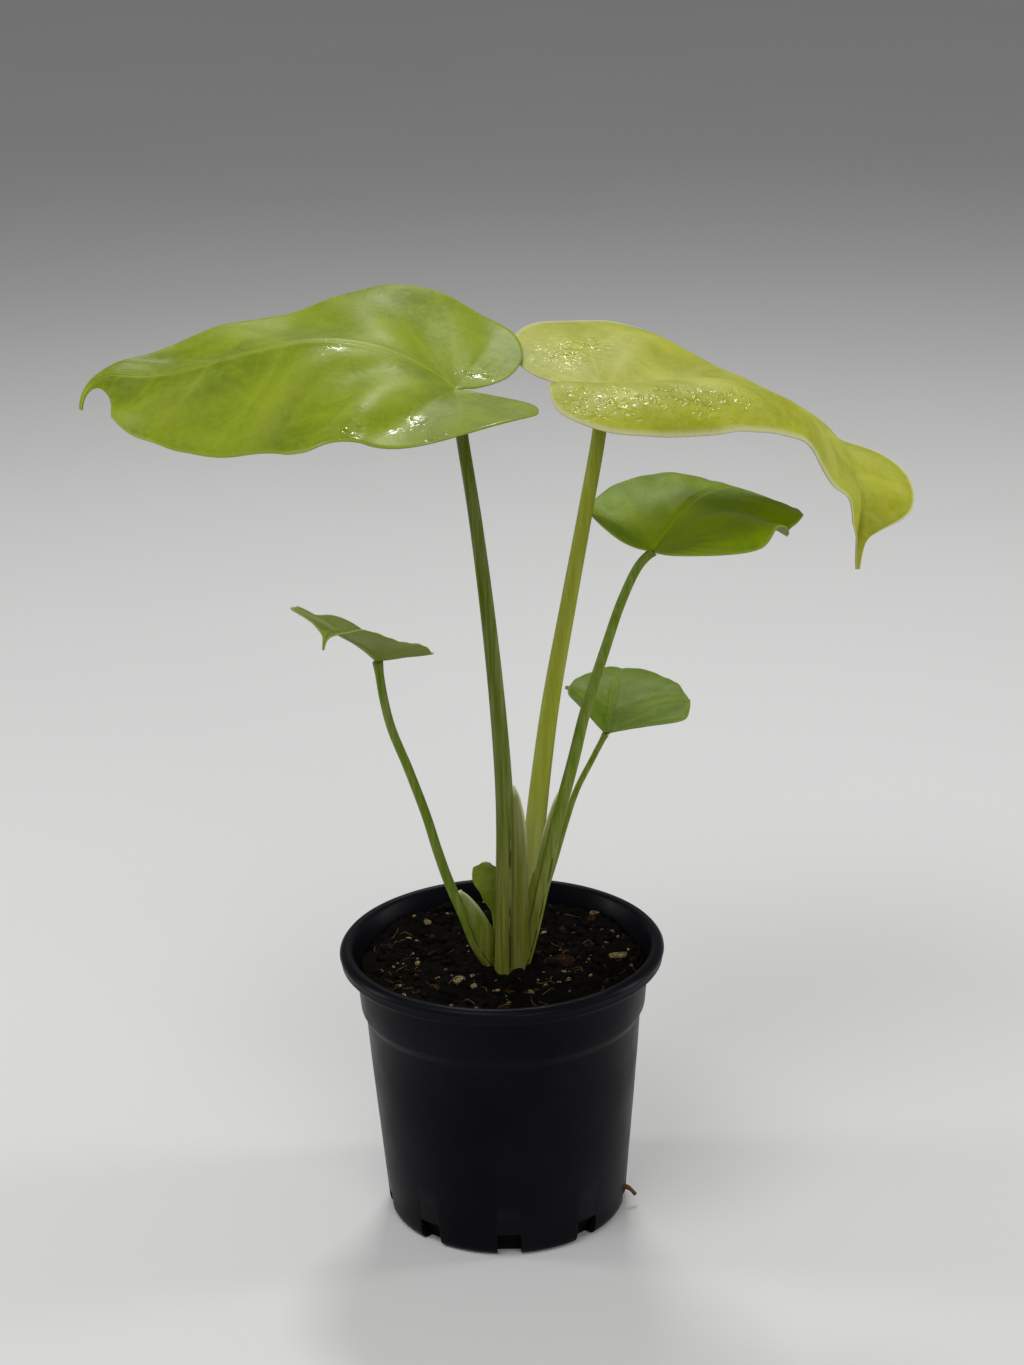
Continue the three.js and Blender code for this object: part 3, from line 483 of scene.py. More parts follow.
def make_blade(name):
    """Both halves share the points of the midrib; a lower layer follows the upper one."""
    leaf = LEAVES[name]
    blade = Blade(leaf)
    rows, columns = leaf["grid"]
    t = np.linspace(0, 1, rows + 1)
    share = np.linspace(0, 1, columns + 1) ** COLUMN_CROWDING
    margin = heart_at(t)
    margin[:, 0] = np.where(margin[:, 0] > 1, 1 + (margin[:, 0] - 1) * leaf.get("tip", 1), margin[:, 0])
    spots, normals, faces = [], [], []
    data = {key: [] for key in ("vein", "margin", "wet", "light")}
    spine = {}

    def add(point, normal, values):
        spots.append(point)
        normals.append(normal)
        for key in data:
            data[key].append(values[key])
        return len(spots) - 1

    for side in (1, -1):
        half = half_of(leaf, side)
        edge_u = np.where(margin[:, 0] < 0, margin[:, 0] * half.lobe, margin[:, 0])
        middle, end = half.fuller
        edge_v = margin[:, 1] * half.width * eased(WIDTH_AT, [1, 1, middle, end, end], edge_u)
        root_u = np.maximum(edge_u - VEIN_SLANT * margin[:, 1], 0)
        u = root_u[:, None] * (1 - share) + edge_u[:, None] * share
        v = edge_v[:, None] * share
        normal = blade.normal(u, v, side)
        values, lift = blade_detail(leaf, t, share, u, v, edge_v, side)
        point = blade.at(u, v, side) + normal * lift[..., None]
        before = None
        for i in range(1, rows + 1):
            key = round(float(root_u[i]), 5)
            if key not in spine:
                mean = unit(blade.normal(root_u[i], 0, 1) + blade.normal(root_u[i], 0, -1))
                spot = blade.at(root_u[i], 0, 1) + mean * lift[i, 0]
                spine[key] = add(spot, mean, {k: values[k][i, 0] for k in data})
            row = [spine[key]]
            for k in range(1, columns + 1):
                row.append(add(point[i, k], normal[i, k], {key: values[key][i, k] for key in data}))
            if before:
                for k in range(columns):
                    quad = [before[k], row[k], row[k + 1], before[k + 1]]
                    if side < 0:
                        quad.reverse()
                    quad = list(dict.fromkeys(quad))
                    if len(quad) > 2:
                        faces.append(quad)
            before = row
    count = len(spots)
    spots, normals = np.array(spots), np.array(normals)
    data = {key: np.array(values) for key, values in data.items()}
    thick = EDGE_THICK + BODY_THICK * (1 - data["margin"])
    rib = 0.9 * data["vein"] ** 2
    upper = spots + normals * (thick / 2)[:, None]
    lower = spots - normals * (thick / 2 + RIB_DEPTH * rib)[:, None]
    everything = list(faces)
    everything += [[i + count for i in f[::-1]] for f in faces]
    everything += [[b, a, a + count, b + count] for a, b in open_edges(faces)]
    attributes = {key: np.concatenate([values, values]) for key, values in data.items()}
    attributes["back"] = np.concatenate([np.zeros(count), np.ones(count)])
    return piece(f"leaf_{name}", np.vstack([upper, lower]), everything, LEAF_SKINS[name], leaf["slot"],
                 f"blade_{name}", **attributes)


def blade_detail(leaf, t, share, u, v, edge_v, side):
    """Masks for the skin, and the fine relief in mm, on one half's grid."""
    T, S = t[:, None] + 0 * share, share[None, :] + 0 * t[:, None]
    length = leaf["length"]
    curved = T * leaf["veins"] - 0.35 * S ** 2
    nearest = np.abs(curved - np.round(curved))
    line = np.exp(-(nearest / 0.07) ** 2) * (1 - smooth(S, 0.75, 1)) * smooth(T, 0.04, 0.12)
    line = line * (0.55 - 0.35 * S) * (1 - smooth(T, 0.86, 0.95))
    # The midrib shows as two pale lines with a groove between them
    rib = np.exp(-((v - 0.75) / 0.4) ** 2) * (u >= -0.01) * (1 - 0.4 * smooth(u, 0.3, 1))
    wet = 0 * S
    for spot in leaf.get("wet", []):
        if spot.side == side:
            away = np.hypot((u - spot.u) * length, v - spot.v) / spot.radius
            wet = np.maximum(wet, np.exp(-away ** 2))
    paler = 0.6 if side < 0 else 0.55 + 0.4 * smooth(T, 0.3, 0.6)
    rim = smooth(S, leaf.get("rim", 0.97), 0.995) * paler * (1 - 0.5 * smooth(T, 0.9, 1))

    # Broad ridges run with the side veins; the skin puffs up between the veins
    off_midrib = smooth(v, 2, 16)
    past_joint = smooth(u, -0.05, 0.15)
    ridges = np.sin(TURN * (RIDGES * (u - VEIN_SLANT * S) + 0.2 * side))
    # Painted highlight: a mask of the ridges' crests that pales the colour there
    painted_crest_highlight = smooth(ridges, 0.1, 1) * off_midrib * (1 - smooth(S, 0.75, 1))
    puff = np.cos(TURN * curved) * -0.5 * np.sin(math.pi * np.clip(S, 0, 1)) ** 0.6
    puff = puff * smooth(S, 0.02, 0.2) * smooth(edge_v[:, None] + 0 * S, 4, 16)
    puff = puff * smooth(np.hypot(u * length, v), 6, 0.3 * length)
    slow = 0.4 * waves(u * length, v * side, 5, 0.08, 0.22, 3 + side) + leaf.get("ridge", 0.8) * ridges
    slow = slow * off_midrib * past_joint * min(length / FULL_SIZE, 0.4 / leaf["quilt"])
    groove = -0.45 * np.exp(-(v / 1.1) ** 2) + 0.2 * np.exp(-((v - 2) / 1.3) ** 2)
    inner = 1 - smooth(S, 0.7, 1)
    lift = leaf["quilt"] * (0.5 * puff + 1.6 * slow) * inner + groove * length / FULL_SIZE
    if side < 0:
        lift = lift + leaf.get("lobe_lift", 0) * np.exp(-((v - 14) / 9) ** 2) * smooth(-u, 0, 0.18)
    masks = {
        "vein": np.clip(np.maximum(line, rib), 0, 1),
        "margin": rim,
        "wet": wet,
        # Painted highlight on the ridge crests
        "light": 0.35 * painted_crest_highlight * past_joint,
    }
    return masks, lift * smooth(1.1 - T, 0.1, 0.3)


for leaf_name in LEAVES:
    make_blade(leaf_name)


# Stalks with their sheaths


class Path:
    """A centripetal Catmull-Rom curve through its points."""

    def __init__(self, points):
        self.points = np.array(points, dtype=float)

    def at(self, s):
        p = self.points
        last = len(p) - 1
        x = last * min(max(s, 0), 1)
        i = min(int(x), last - 1)
        w = x - i
        b, c = p[i], p[i + 1]
        a = p[i - 1] if i > 0 else 2 * p[0] - p[1]
        d = p[i + 2] if i + 2 <= last else 2 * p[last] - p[last - 1]
        ab, bc, cd = (max(np.linalg.norm(m - n), 1e-4) ** 0.5 for m, n in ((b, a), (c, b), (d, c)))
        out = ((b - a) / ab - (c - a) / (ab + bc) + (c - b) / bc) * bc
        into = ((c - b) / bc - (d - b) / (bc + cd) + (d - c) / cd) * bc
        square, cube = -3 * b + 3 * c - 2 * out - into, 2 * b - 2 * c + out + into
        return b + out * w + square * w ** 2 + cube * w ** 3

    def frame(self, s):
        along = unit(self.at(min(s + 1e-3, 1)) - self.at(max(s - 1e-3, 0)))
        across = unit(np.cross([0, 1, 0], along))
        return self.at(s), across, np.cross(along, across)


def tube(path, steps, sides, section, ridge=0.0):
    """Points and faces of a closed tube; section gives two half-widths at s."""
    points, faces = [], []
    for i in range(steps + 1):
        s = i / steps
        centre, across, depth = path.frame(s)
        wide, deep = section(s)
        for k in range(sides):
            angle = TURN * k / sides
            swell = 1 + ridge * math.sin(7 * angle + 2 * s) * math.sin(3 * angle)
            x, y = math.cos(angle), math.sin(angle)
            points.append(centre + across * wide * swell * x + depth * deep * swell * y)
    for i in range(steps):
        for k in range(sides):
            a, b = i * sides + k, i * sides + (k + 1) % sides
            faces.append([a, b, b + sides, a + sides])
    last = steps * sides
    faces.append([k for k in range(sides)][::-1])
    faces.append([last + k for k in range(sides)])
    return np.array(points), faces


# A sheath wing: its side, reach in mm, start and end along the stalk, wrap and how blunt its hood is
Wing = namedtuple("Wing", "side reach start end wrap hood")
WING_ROWS, WING_COLUMNS = 70, 12
WING_ROOT = 1.2
STALK_STEPS, STALK_SIDES = 150, 36
SLIT_ANGLE, SLIT_SPREAD = 5.25, 0.13
# The share of the way that the stalk's end moves from the solid's end to the blade's joint
JOINT_SHARE = 0.65

# Half-widths across and in depth, in mm; forward moves a sheath toward the front
STALKS = {
    "great_left": {
        "path": [(0.6, -4.5, 85), (1.1, -4.5, 100), (1.6, -4.3, 120), (2.1, -4.2, 139), (1.9, -4, 157),
                 (0.4, -3.8, 186), (-2.4, -3.5, 221), (-5.4, -3.3, 250), (-8.6, -3.1, 275),
                 (-10.2, -3, 290)],
        "foot": (3.5, 3.1), "middle": (3.2, 2.9), "top": (2, 2), "forward": 1.2, "slot": "stalk_green",
        "wings": [Wing(side=1, reach=4.6, start=0, end=0.44, wrap=-0.03, hood=5)],
    },
    "great_right": {
        "path": [(3.8, 3, 85), (6.6, 3.4, 97), (8.9, 3.5, 115), (12, 3.7, 136.7), (14.4, 4, 156),
                 (18.3, 5, 182.7), (24.8, 6.6, 216.8), (30.7, 8.5, 246.8), (35.7, 11.4, 273.3),
                 (36.8, 12.9, 285)],
        "foot": (2.6, 2.4), "middle": (3.6, 3.1), "top": (2.3, 2.3), "slot": "stalk_pale", "wings": [],
    },
    "middle_right": {
        "path": [(6, -1.2, 85), (10, -0.1, 99), (14.9, 1.2, 119.6), (19.3, 2.8, 138.9), (25.4, 5, 161.2),
                 (29.8, 7, 178.2), (36.5, 10, 198), (42.5, 13, 214.3), (48.4, 15.2, 225.6), (52.4, 16, 229.6)],
        "foot": (2.1, 1.8), "middle": (2.2, 2), "top": (1.5, 1.5), "slot": "stalk_green",
        "wings": [Wing(side=-1, reach=2.4, start=0, end=0.385, wrap=-0.06, hood=4)],
    },
    "small_right": {
        "path": [(7.2, 6.2, 85), (10.6, 7, 97.5), (14.5, 7.9, 111.1), (18.7, 9.7, 123.9), (22.6, 12, 136),
                 (26.6, 15.2, 146.3), (32, 19, 155.5), (36.4, 22.2, 163)],
        "foot": (1.8, 1.6), "middle": (1.3, 1.2), "top": (1, 1), "slot": "stalk_green",
        "wings": [Wing(side=-1, reach=1.6, start=0, end=0.57, wrap=0.05, hood=5)],
    },
    "small_left": {
        "path": [(-3, 0.2, 85), (-3.4, 0, 87.5), (-5.9, -1.5, 92), (-8.9, -2.6, 98), (-12.6, -3.2, 109),
                 (-17, -3.6, 121), (-20.6, -3.9, 133), (-24, -4.1, 146), (-29.4, -4.4, 163),
                 (-34.6, -4.7, 178), (-36.8, -4.9, 189), (-38.1, -5, 200.4)],
        "foot": (1.9, 1.7), "middle": (1.8, 1.6), "top": (1.45, 1.4), "slot": "stalk_green",
        "wings": [Wing(side=1, reach=7, start=0.16, end=0.43, wrap=0.04, hood=1.6)],
    },
}


def stalk_half_widths(stalk, s):
    """From foot to middle to top, with a small flare under the blade."""
    low, high = float(smooth(s, 0, 0.22)), float(smooth(s, 0.22, 0.9))
    flare = 1 + 0.22 * float(smooth(s, 0.965, 1))
    widths = []
    for foot, middle, top in zip(stalk["foot"], stalk["middle"], stalk["top"]):
        lower = foot + (middle - foot) * low
        widths.append((lower + (top - lower) * high) * flare)
    return widths


def wing_grid(stalk, path, wing):
    """A wing's points in two layers, each with its place along the stalk and its share of cream."""
    grid, grid_s, grid_cream = [], [], []
    for layer in (1, -1):
        for i in range(WING_ROWS + 1):
            share = i / WING_ROWS
            s = wing.start + (wing.end - wing.start) * share
            centre, across, depth = path.frame(s)
            inner = stalk_half_widths(stalk, s)[0] - WING_ROOT
            rising = 0.5 + 0.5 * float(smooth(share, 0, 0.2))
            out_to = wing.reach * rising * math.sqrt(max(1 - share ** wing.hood, 0.03)) + WING_ROOT
            forward = stalk.get("forward", 0) * float(smooth(share, 0, 0.1)) * (1 - 0.6 * share)
            for k in range(WING_COLUMNS + 1):
                out = out_to * k / WING_COLUMNS
                thick = (0.45 - 0.25 * k / WING_COLUMNS) * layer
                frill = 0.25 * math.sin(9 * share + 2) * (k / WING_COLUMNS) ** 2
                point = centre + across * wing.side * (inner + out)
                grid.append(point + depth * (wing.wrap * out * out + frill + thick - forward))
                grid_s.append(s)
                rim = max(float(smooth(k / WING_COLUMNS, 0.75, 1)), float(smooth(share, 0.94, 1)))
                grid_cream.append((0.3 * k / WING_COLUMNS + 0.7 * rim) * float(smooth(share, 0.55, 0.95)))
    return grid, grid_s, grid_cream


def make_stalk(name):
    stalk = STALKS[name]
    end = [JOINT_SHARE * j + (1 - JOINT_SHARE) * p for j, p in zip(LEAVES[name]["joint"], stalk["path"][-1])]
    path = Path(stalk["path"][:-1] + [end])
    points, faces = tube(path, STALK_STEPS, STALK_SIDES, lambda s: stalk_half_widths(stalk, s), 0.03)
    s_of = np.repeat(np.linspace(0, 1, STALK_STEPS + 1), STALK_SIDES)
    cream = 0 * s_of
    # Painted shade: a broken dark line for the shaded slit runs down the front right of a stalk that has a
    # sheath
    angle_of = np.tile(np.arange(STALK_SIDES), STALK_STEPS + 1) * TURN / STALK_SIDES
    seam = np.exp(-((angle_of - SLIT_ANGLE) / SLIT_SPREAD) ** 2) if stalk["wings"] else 0 * angle_of
    slit = seam * (1 - smooth(s_of, 0.3, 0.42))
    for wing in stalk["wings"]:
        grid, grid_s, grid_cream = wing_grid(stalk, path, wing)
        faces += sheet_faces(WING_ROWS, WING_COLUMNS, base=len(points), flip=wing.side > 0)
        points = np.vstack([points, grid])
        s_of = np.concatenate([s_of, grid_s])
        cream = np.concatenate([cream, grid_cream])
        slit = np.concatenate([slit, np.zeros(len(grid))])
    return piece(f"stem_{name}", points, faces, STALK_SKINS[name], stalk["slot"], f"stalk_{name}",
                 rise=smooth(s_of, 0.1, 0.5), cream=cream, slit=slit)


for stalk_name in STALKS:
    make_stalk(stalk_name)


def make_first_leaf():
    """The small spoon-shaped first leaf behind the stalks."""
    path = Path([(-2.4, 4.4, 85), (-1.4, 5, 98), (-1.8, 5.2, 106), (-3.7, 5.4, 113.5), (-4.9, 5.2, 119.5),
                 (-4.7, 5, 125)])
    stations, half_widths = [0, 0.4, 0.6, 0.8, 0.92, 1], [1.3, 1.4, 3, 4.6, 4.4, 2.6]
    rows, columns = 60, 16
    grid, s_of = [], []
    for layer in (1, -1):
        for i in range(rows + 1):
            s = i / rows
            centre, across, depth = path.frame(s)
            wide = float(eased(stations, half_widths, s)) * (1 - 0.35 * float(smooth(s, 0.94, 1)))
            for k in range(columns + 1):
                x = 2 * k / columns - 1
                thick = (0.3 + 0.5 * (1 - s)) * math.sqrt(max(1 - x * x, 0.04)) * layer
                cup = -0.9 * smooth(s, 0.4, 0.8) * x * x
                grid.append(centre + across * wide * x + depth * (thick + cup))
                s_of.append(s)
    zero = np.zeros(len(grid))
    faces = sheet_faces(rows, columns)
    piece("spoon_leaf", grid, faces, LEAF_SKINS["small_left"], "leaf_young", "first_leaf",
          vein=zero, margin=0.4 * smooth(s_of, 0.9, 1), back=zero, wet=zero, light=zero)


make_first_leaf()


# The pot: radius and height of its turned outline, and the drain slots cut through its foot

OUTSIDE = [
    (0, 0), (30, 0), (37.6, 0), (38.6, 0.08), (39.6, 0.5), (40.4, 1.2), (40.9, 2.2), (41.2, 3.6), (41.4, 6),
    (42.9, 24), (44.4, 42), (45.7, 58), (46.75, 73.2), (46.95, 73.8), (48.25, 76.3), (48.42, 76.9),
    (48.9, 82), (49.4, 87), (49.85, 91.7), (50.1, 92.3), (50.7, 92.5), (53.5, 92.5), (54.1, 92.65),
    (54.45, 93.1), (54.5, 93.7), (54.45, 94.3), (54.62, 94.6), (54.68, 94.9), (54.6, 95.15), (54.9, 95.4),
    (55, 95.8), (54.95, 96.3), (54.6, 96.9), (54.1, 97.45), (53.5, 97.8), (52.8, 98),
]
INSIDE = [
    (52.1, 97.95), (51.2, 97.6), (50.7, 97), (50.4, 96.5), (49.6, 94.2), (48.6, 91.5), (48.1, 86),
    (47.1, 76.7), (45.5, 73.6), (44, 55), (42, 30), (40.1, 6), (38, 2), (20, 2), (0, 2),
]
POT_SIDES = 224
SLOT_COUNT, SLOT_FIRST = 9, -10
SLOT_BOX, SLOT_RADIUS, SLOT_MIDDLE = (12, 8, 9.5), 42, 3.75


def lathe(profile, sides):
    points, faces = [], []
    rings = []
    for r, z in profile:
        if r == 0:
            rings.append([len(points)])
            points.append((0, 0, z))
            continue
        rings.append(list(range(len(points), len(points) + sides)))
        for k in range(sides):
            a = TURN * k / sides
            points.append((r * math.cos(a), r * math.sin(a), z))
    for low, high in zip(rings, rings[1:]):
        for k in range(sides):
            n = (k + 1) % sides
            if len(low) == 1:
                faces.append([low[0], high[n], high[k]])
            elif len(high) == 1:
                faces.append([low[k], low[n], high[0]])
            else:
                faces.append([low[k], low[n], high[n], high[k]])
    return points, faces


def make_pot():
    points, faces = lathe(OUTSIDE + INSIDE, POT_SIDES)
    pot = piece("nursery_pot", points, faces, POT_SKIN, "pot_plastic", "pot")
    cutters = []
    for i in range(SLOT_COUNT):
        angle = math.radians(SLOT_FIRST + 360 / SLOT_COUNT * i)
        bpy.ops.mesh.primitive_cube_add(size=1)
        box = bpy.context.object
        box.scale = [MM * side for side in SLOT_BOX]
        box.rotation_euler = (0, 0, angle)
        place = (SLOT_RADIUS * math.cos(angle), SLOT_RADIUS * math.sin(angle), SLOT_MIDDLE)
        box.location = [MM * x for x in place]
        cutters.append(box)
        cut = pot.modifiers.new("slot", "BOOLEAN")
        cut.operation = "DIFFERENCE"
        cut.solver = "EXACT"
        cut.object = box
    bpy.context.view_layer.update()
    shaped = bpy.data.meshes.new_from_object(pot.evaluated_get(bpy.context.evaluated_depsgraph_get()))
    pot.modifiers.clear()
    pot.data = shaped
    for box in cutters:
        bpy.data.objects.remove(box, do_unlink=True)


make_pot()


# Soil with its grains, bark chips, crumbs and fibres

SOIL_TOP, SOIL_BACK_RISE = 89.5, 2.6
SOIL_RADIUS = 48.0
# The soil's side and underside, inside the pot's wall: radius and height
SOIL_SIDE = [(47.9, 84), (46.6, 76.8), (45.0, 73.7), (40, 12), (39.6, 6.4), (37, 2.4)]
PLANT_FOOT_Z = 85


def soil_height(x, y):
    """Slow and quick swells, fine crumbs, and a rise toward the back."""
    slow = 0.8 * np.sin(0.16 * x + 0.7) * np.cos(0.19 * y - 0.4)
    quick = 0.5 * np.sin(0.53 * x + 0.31 * y) + 0.4 * np.sin(0.47 * y - 0.61 * x + 1.1)
    fine = 0.35 * waves(x, y, 9, 1.1, 2.6, 21) + 0.22 * waves(x, y, 9, 2.6, 5.5, 22)
    return SOIL_TOP + slow + quick + fine + SOIL_BACK_RISE * smooth(y, 5, 40)


def make_soil():
    rings, sectors = 90, 260
    points = [(0, 0, PLANT_FOOT_Z)]
    for i in range(1, rings + 1):
        r = SOIL_RADIUS * i / rings
        for k in range(sectors):
            a = TURN * (k + 0.5 * (i % 2)) / sectors
            x, y = r * math.cos(a), r * math.sin(a)
            points.append((x, y, float(soil_height(x, y))))
    for r, z in SOIL_SIDE:
        for k in range(sectors):
            a = TURN * k / sectors
            points.append((r * math.cos(a), r * math.sin(a), z))
    points.append((0, 0, SOIL_SIDE[-1][1]))
    faces = []
    total = rings + len(SOIL_SIDE)
    for k in range(sectors):
        n = (k + 1) % sectors
        faces.append([0, 1 + k, 1 + n])
        for i in range(total - 1):
            a, b = 1 + i * sectors + k, 1 + i * sectors + n
            faces.append([a, a + sectors, b + sectors, b])
        low = 1 + (total - 1) * sectors
        faces.append([len(points) - 1, low + n, low + k])
    piece("potting_mix", points, faces, SOIL_SKIN, "soil_mix", "soil")


def icosphere():
    bpy.ops.mesh.primitive_ico_sphere_add(subdivisions=2, radius=1)
    ball = bpy.context.object
    points = np.array([v.co[:] for v in ball.data.vertices])
    faces = [list(p.vertices) for p in ball.data.polygons]
    bpy.data.objects.remove(ball, do_unlink=True)
    return points, faces


BALL, BALL_FACES = icosphere()

# A lump on the soil: place, half-sizes in mm, turn and tip in radians, and how deep it sinks
Lump = namedtuple("Lump", "x y sizes turn tip sink")


def lumps(name, spots, skin, rough, seed):
    """Many small lumps as one mesh."""
    r = np.random.default_rng(seed)
    points, faces = [], []
    for spot in spots:
        shape = BALL * (1 + rough * waves(BALL[:, 0] * 3 + 9 * r.random(), BALL[:, 1] * 3 + BALL[:, 2] * 2.4,
                                          5, 0.5, 1.4, int(1e6 * r.random())))[:, None]
        shape = np.sign(shape) * np.abs(shape) ** 0.85 * np.array(spot.sizes)
        c, s = math.cos(spot.tip), math.sin(spot.tip)
        shape = shape @ np.array([[1, 0, 0], [0, c, s], [0, -s, c]])
        c, s = math.cos(spot.turn), math.sin(spot.turn)
        shape = shape @ np.array([[c, s, 0], [-s, c, 0], [0, 0, 1]])
        base = len(points) * len(BALL)
        points.append(shape + np.array([spot.x, spot.y, float(soil_height(spot.x, spot.y)) - spot.sink]))
        faces += [[base + i for i in f] for f in BALL_FACES]
    return piece(name, np.vstack(points), faces, skin, "soil_mix")


def scattered(count, small, large, power, longer, flat, seed, free=0.05):
    """Random lumps over the soil, clear of the stalks; most are small where power is high."""
    r = np.random.default_rng(seed)
    reach = 46.4
    spots = []
    while len(spots) < count:
        radius = reach * math.sqrt(free + (1 - free) * r.random())
        angle = TURN * r.random()
        x, y = radius * math.cos(angle), radius * math.sin(angle)
        if ((x - 2) / 12) ** 2 + (y / 10) ** 2 < 1:
            continue
        size = small + (large - small) * r.random() ** power
        sizes = (size * (1 + longer * r.random()), size, size * flat)
        spots.append(Lump(x, y, sizes, 6.28 * r.random(), 0.8 * (r.random() - 0.5), 0.25 * size * r.random()))
    return spots


# Larger grains that show in the photograph: x, y and half-size in mm
PERLITE = [(39, 1, 2.6), (-15, -15, 2.0), (33, 35, 1.8), (2, -30, 0.8), (-26, 30, 1.3), (36, 16, 1.0),
           (15, 14, 1.0), (43, 8, 0.9), (-22, -9, 0.9), (9, -24, 0.9), (14, -19, 0.8), (22, -16, 0.8),
           (29, 3, 0.9), (-41, -5, 1.0), (-29, 1, 0.9), (-2, -20, 0.8), (-9, -18, 0.8)]
BARK = [Lump(20, 1, (5, 3, 1.5), 0.5, 0.35, -0.2), Lump(-36, 12, (1.6, 1.1, 0.8), 1, 0.2, 0),
        Lump(-24, 20, (1.8, 1, 0.8), 2, 0.2, 0)]


def make_grains():
    spots = scattered(90, 0.35, 1.0, power=2.4, longer=0.4, flat=0.8, seed=31)
    spots += [Lump(x, y, (s * 1.2, s, s * 0.8), 5 * s, 0.3, 0.15 * s) for x, y, s in PERLITE]
    lumps("perlite_grains", spots, PERLITE_SKIN, 0.42, 41)
    chips = scattered(60, 0.7, 2.0, power=1.6, longer=1.6, flat=0.45, seed=32)
    lumps("bark_chips", chips + BARK, BARK_SKIN, 0.2, 42)
    crumbs = scattered(620, 0.5, 1.9, power=1.5, longer=0.7, flat=0.7, seed=33, free=0.02)
    lumps("dark_crumbs", crumbs, SOIL_SKIN, 0.28, 43)


def make_fibres():
    r = np.random.default_rng(51)
    points, faces = [], []
    for spot in scattered(80, 1, 2, power=1, longer=0, flat=1, seed=52):
        length = 2 + 5 * r.random()
        bend = 1.6 * (r.random() - 0.5)
        line = []
        for i in range(5):
            d = length * (i / 4 - 0.5)
            px = spot.x + d * math.cos(spot.turn) - bend * (d / length) ** 2 * 4 * math.sin(spot.turn)
            py = spot.y + d * math.sin(spot.turn) + bend * (d / length) ** 2 * 4 * math.cos(spot.turn)
            if math.hypot(px, py) > 47:
                continue
            line.append((px, py, float(soil_height(px, py)) + 0.45 + 0.25 * math.sin(i + spot.turn)))
        if len(line) < 4:
            continue
        p, f = tube(Path(line), 8, 5, lambda s: (0.13 + 0.06 * (1 - s), 0.13))
        faces += [[i + len(points) for i in face] for face in f]
        points += p.tolist()
    piece("plant_fibres", points, faces, FIBRE_SKIN, "soil_mix")


make_soil()
make_grains()
make_fibres()


# The crown with its roots, one of them grown out of a drain slot

CROWN_X, CROWN_Y = 1.5, -0.5
CROWN_PROFILE = [
    (0, 58), (3, 58.4), (5, 60), (6.4, 63), (6.9, 66.6), (7.7, 67.4), (7.5, 72.6), (8.5, 73.6), (8.2, 78.6),
    (9.1, 79.6), (8.9, 84.2), (0, 84.4),
]
ROOT_COUNT = 7
LONG_ROOT = [(1.5, -0.5, 66), (14, -3, 52), (25, -4, 32), (33, -5.4, 14), (37.2, -6.2, 7), (41.8, -7, 6),
             (44.4, -7.4, 3.4)]


def root_section(s):
    return ((1.5 - 0.9 * s) * (1 + 0.1 * math.sin(40 * s)),) * 2


def make_crown():
    x, y = CROWN_X, CROWN_Y
    points, faces = lathe(CROWN_PROFILE, 48)
    points = [(px + x, py + y, pz) for px, py, pz in points]
    r = np.random.default_rng(61)
    runs = []
    for i in range(ROOT_COUNT):
        turn = (i + 0.5 + 0.3 * r.random()) / ROOT_COUNT * 2 * math.pi
        spread, bottom = 20 + 10 * r.random(), 14 + 20 * r.random()
        c, s = math.cos(turn), math.sin(turn)
        runs.append([(x, y, 67), (x + 0.45 * spread * c, y + 0.45 * spread * s, 56),
                     (x + 0.8 * spread * c, y + 0.8 * spread * s, (56 + bottom) / 2),
                     (x + spread * c, y + spread * s, bottom)])
    runs.append(LONG_ROOT)
    for run in runs:
        p, f = tube(Path(run), 40, 12, root_section, 0.08)
        faces += [[i + len(points) for i in face] for face in f]
        points += p.tolist()
    piece("stem_base_and_roots", points, faces, ROOT_SKIN, "root_fibre", "crown")


make_crown()


# Floor, light and camera


def stage():
    m = Nodes("pale_floor")
    tint = m.mix(m.noise(3, detail=2), (0.66, 0.66, 0.655, 1), (0.7, 0.7, 0.695, 1))
    skin = m.finish(tint, 0.85, None)
    mesh = bpy.data.meshes.new("floor")
    mesh.from_pydata([(-9, -5, 0), (9, -5, 0), (9, 13, 0), (-9, 13, 0)], [], [(0, 1, 2, 3)])
    mesh.materials.append(skin)
    floor = bpy.data.objects.new("floor", mesh)
    bpy.context.scene.collection.objects.link(floor)


def area_light(name, place, target, size, power):
    lamp = bpy.data.lights.new(name, "AREA")
    lamp.shape = "RECTANGLE"
    lamp.size, lamp.size_y = size
    lamp.energy = power
    thing = bpy.data.objects.new(name, lamp)
    thing.location = place
    thing.rotation_mode = "QUATERNION"
    thing.rotation_quaternion = (Vector(target) - Vector(place)).to_track_quat("-Z", "Y")
    bpy.context.scene.collection.objects.link(thing)


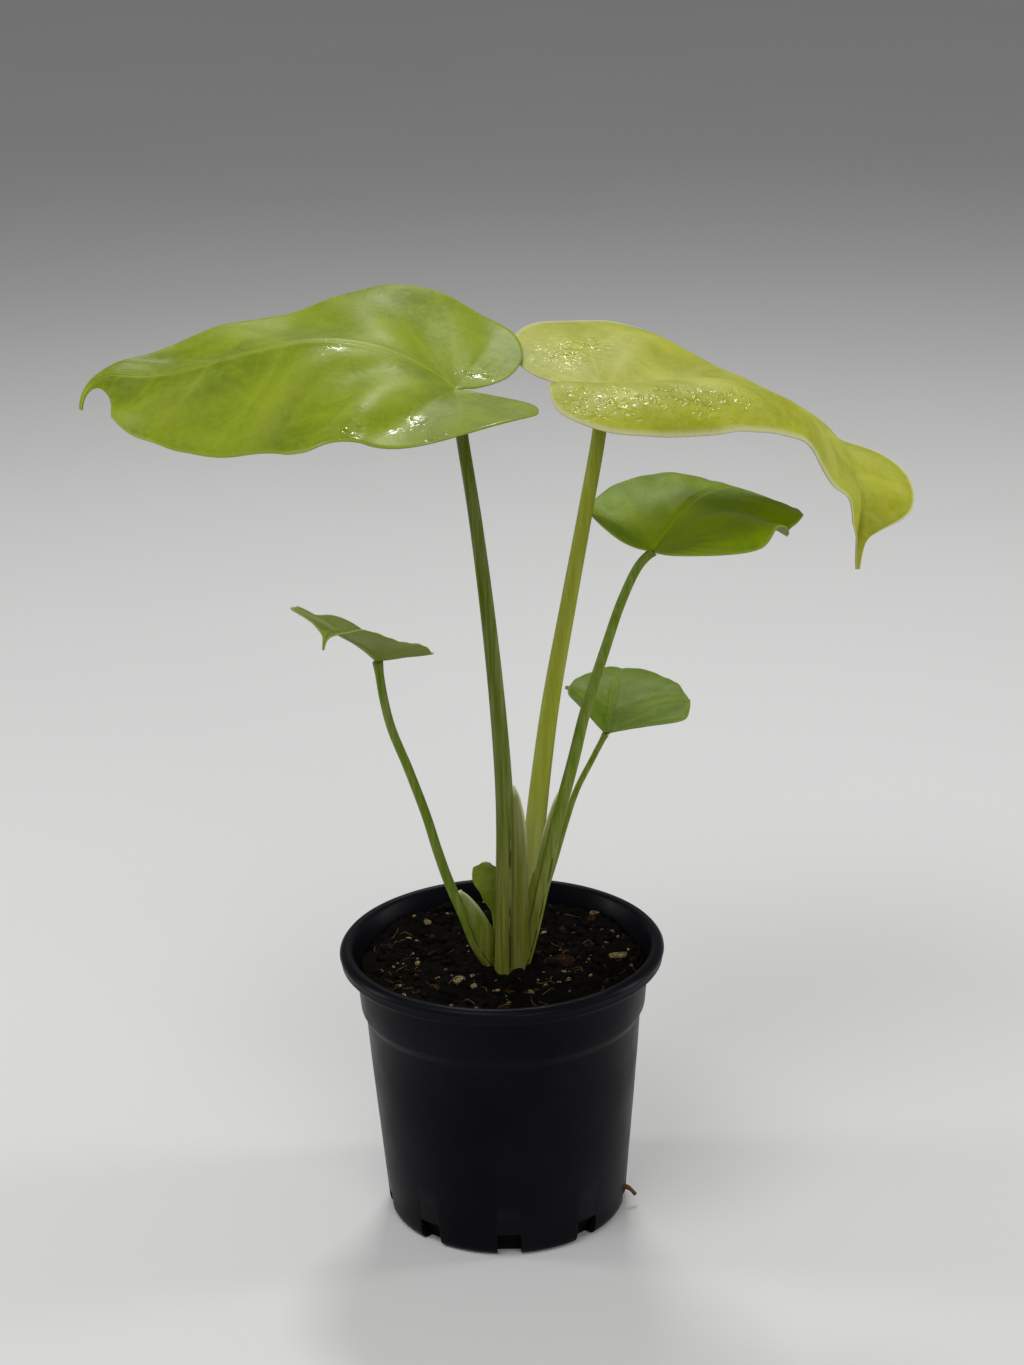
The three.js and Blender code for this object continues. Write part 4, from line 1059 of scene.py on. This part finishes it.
def studio():
    area_light("key", (-0.45, -0.65, 1.45), target=(0, 0, 0.25), size=(0.9, 0.6), power=8)
    area_light("back", (0.05, 0.85, 1.2), target=(0, 0, 0.28), size=(0.3, 0.18), power=7)
    area_light("left_strip", (-1.2, 0.15, 0.4), target=(0, 0, 0.1), size=(0.25, 0.8), power=5)
    area_light("right_strip", (1.2, 0.15, 0.4), target=(0, 0, 0.1), size=(0.25, 0.8), power=5)
    area_light("front_fill", (0.5, -1.5, 0.9), target=(0, 0, 0.2), size=(0.9, 0.9), power=7)
    world = bpy.data.worlds.new("studio")
    world.use_nodes = True
    background = world.node_tree.nodes["Background"]
    background.inputs["Color"].default_value = (1, 1, 1, 1)
    background.inputs["Strength"].default_value = 0.22
    bpy.context.scene.world = world
    bpy.context.scene.view_settings.view_transform = "Standard"


# The photograph's view: 1 m from the middle of the pot's rim, with the frame turned a little
CAMERA_DISTANCE, RIM_HEIGHT = 1, 0.098
CAMERA_RISE = math.radians(24.78)
LOOK_DOWN, LOOK_RIGHT = math.radians(19.7616), math.radians(0.344)
FRAME_TURN = math.radians(1.29)
FOCAL_PIXELS, PICTURE_HEIGHT = 2936.8, 1365
SENSOR = 36


def photo_camera():
    lens = bpy.data.cameras.new("photo_camera")
    lens.sensor_width = SENSOR
    lens.lens = SENSOR * FOCAL_PIXELS / PICTURE_HEIGHT
    level = math.cos(LOOK_DOWN)
    forward = np.array([level * math.sin(LOOK_RIGHT), level * math.cos(LOOK_RIGHT), -math.sin(LOOK_DOWN)])
    right = unit(np.cross(forward, [0, 0, 1]))
    upward = np.cross(right, forward)
    turned_right = math.cos(FRAME_TURN) * right - math.sin(FRAME_TURN) * upward
    turned_up = math.sin(FRAME_TURN) * right + math.cos(FRAME_TURN) * upward
    axes = Matrix([[turned_right[i], turned_up[i], -forward[i]] for i in range(3)])
    camera = bpy.data.objects.new("photo_camera", lens)
    camera.rotation_mode = "QUATERNION"
    camera.rotation_quaternion = axes.to_quaternion()
    rise = CAMERA_DISTANCE * math.sin(CAMERA_RISE)
    camera.location = (0, -CAMERA_DISTANCE * math.cos(CAMERA_RISE), RIM_HEIGHT + rise)
    bpy.context.scene.collection.objects.link(camera)
    bpy.context.scene.camera = camera


stage()
studio()
photo_camera()
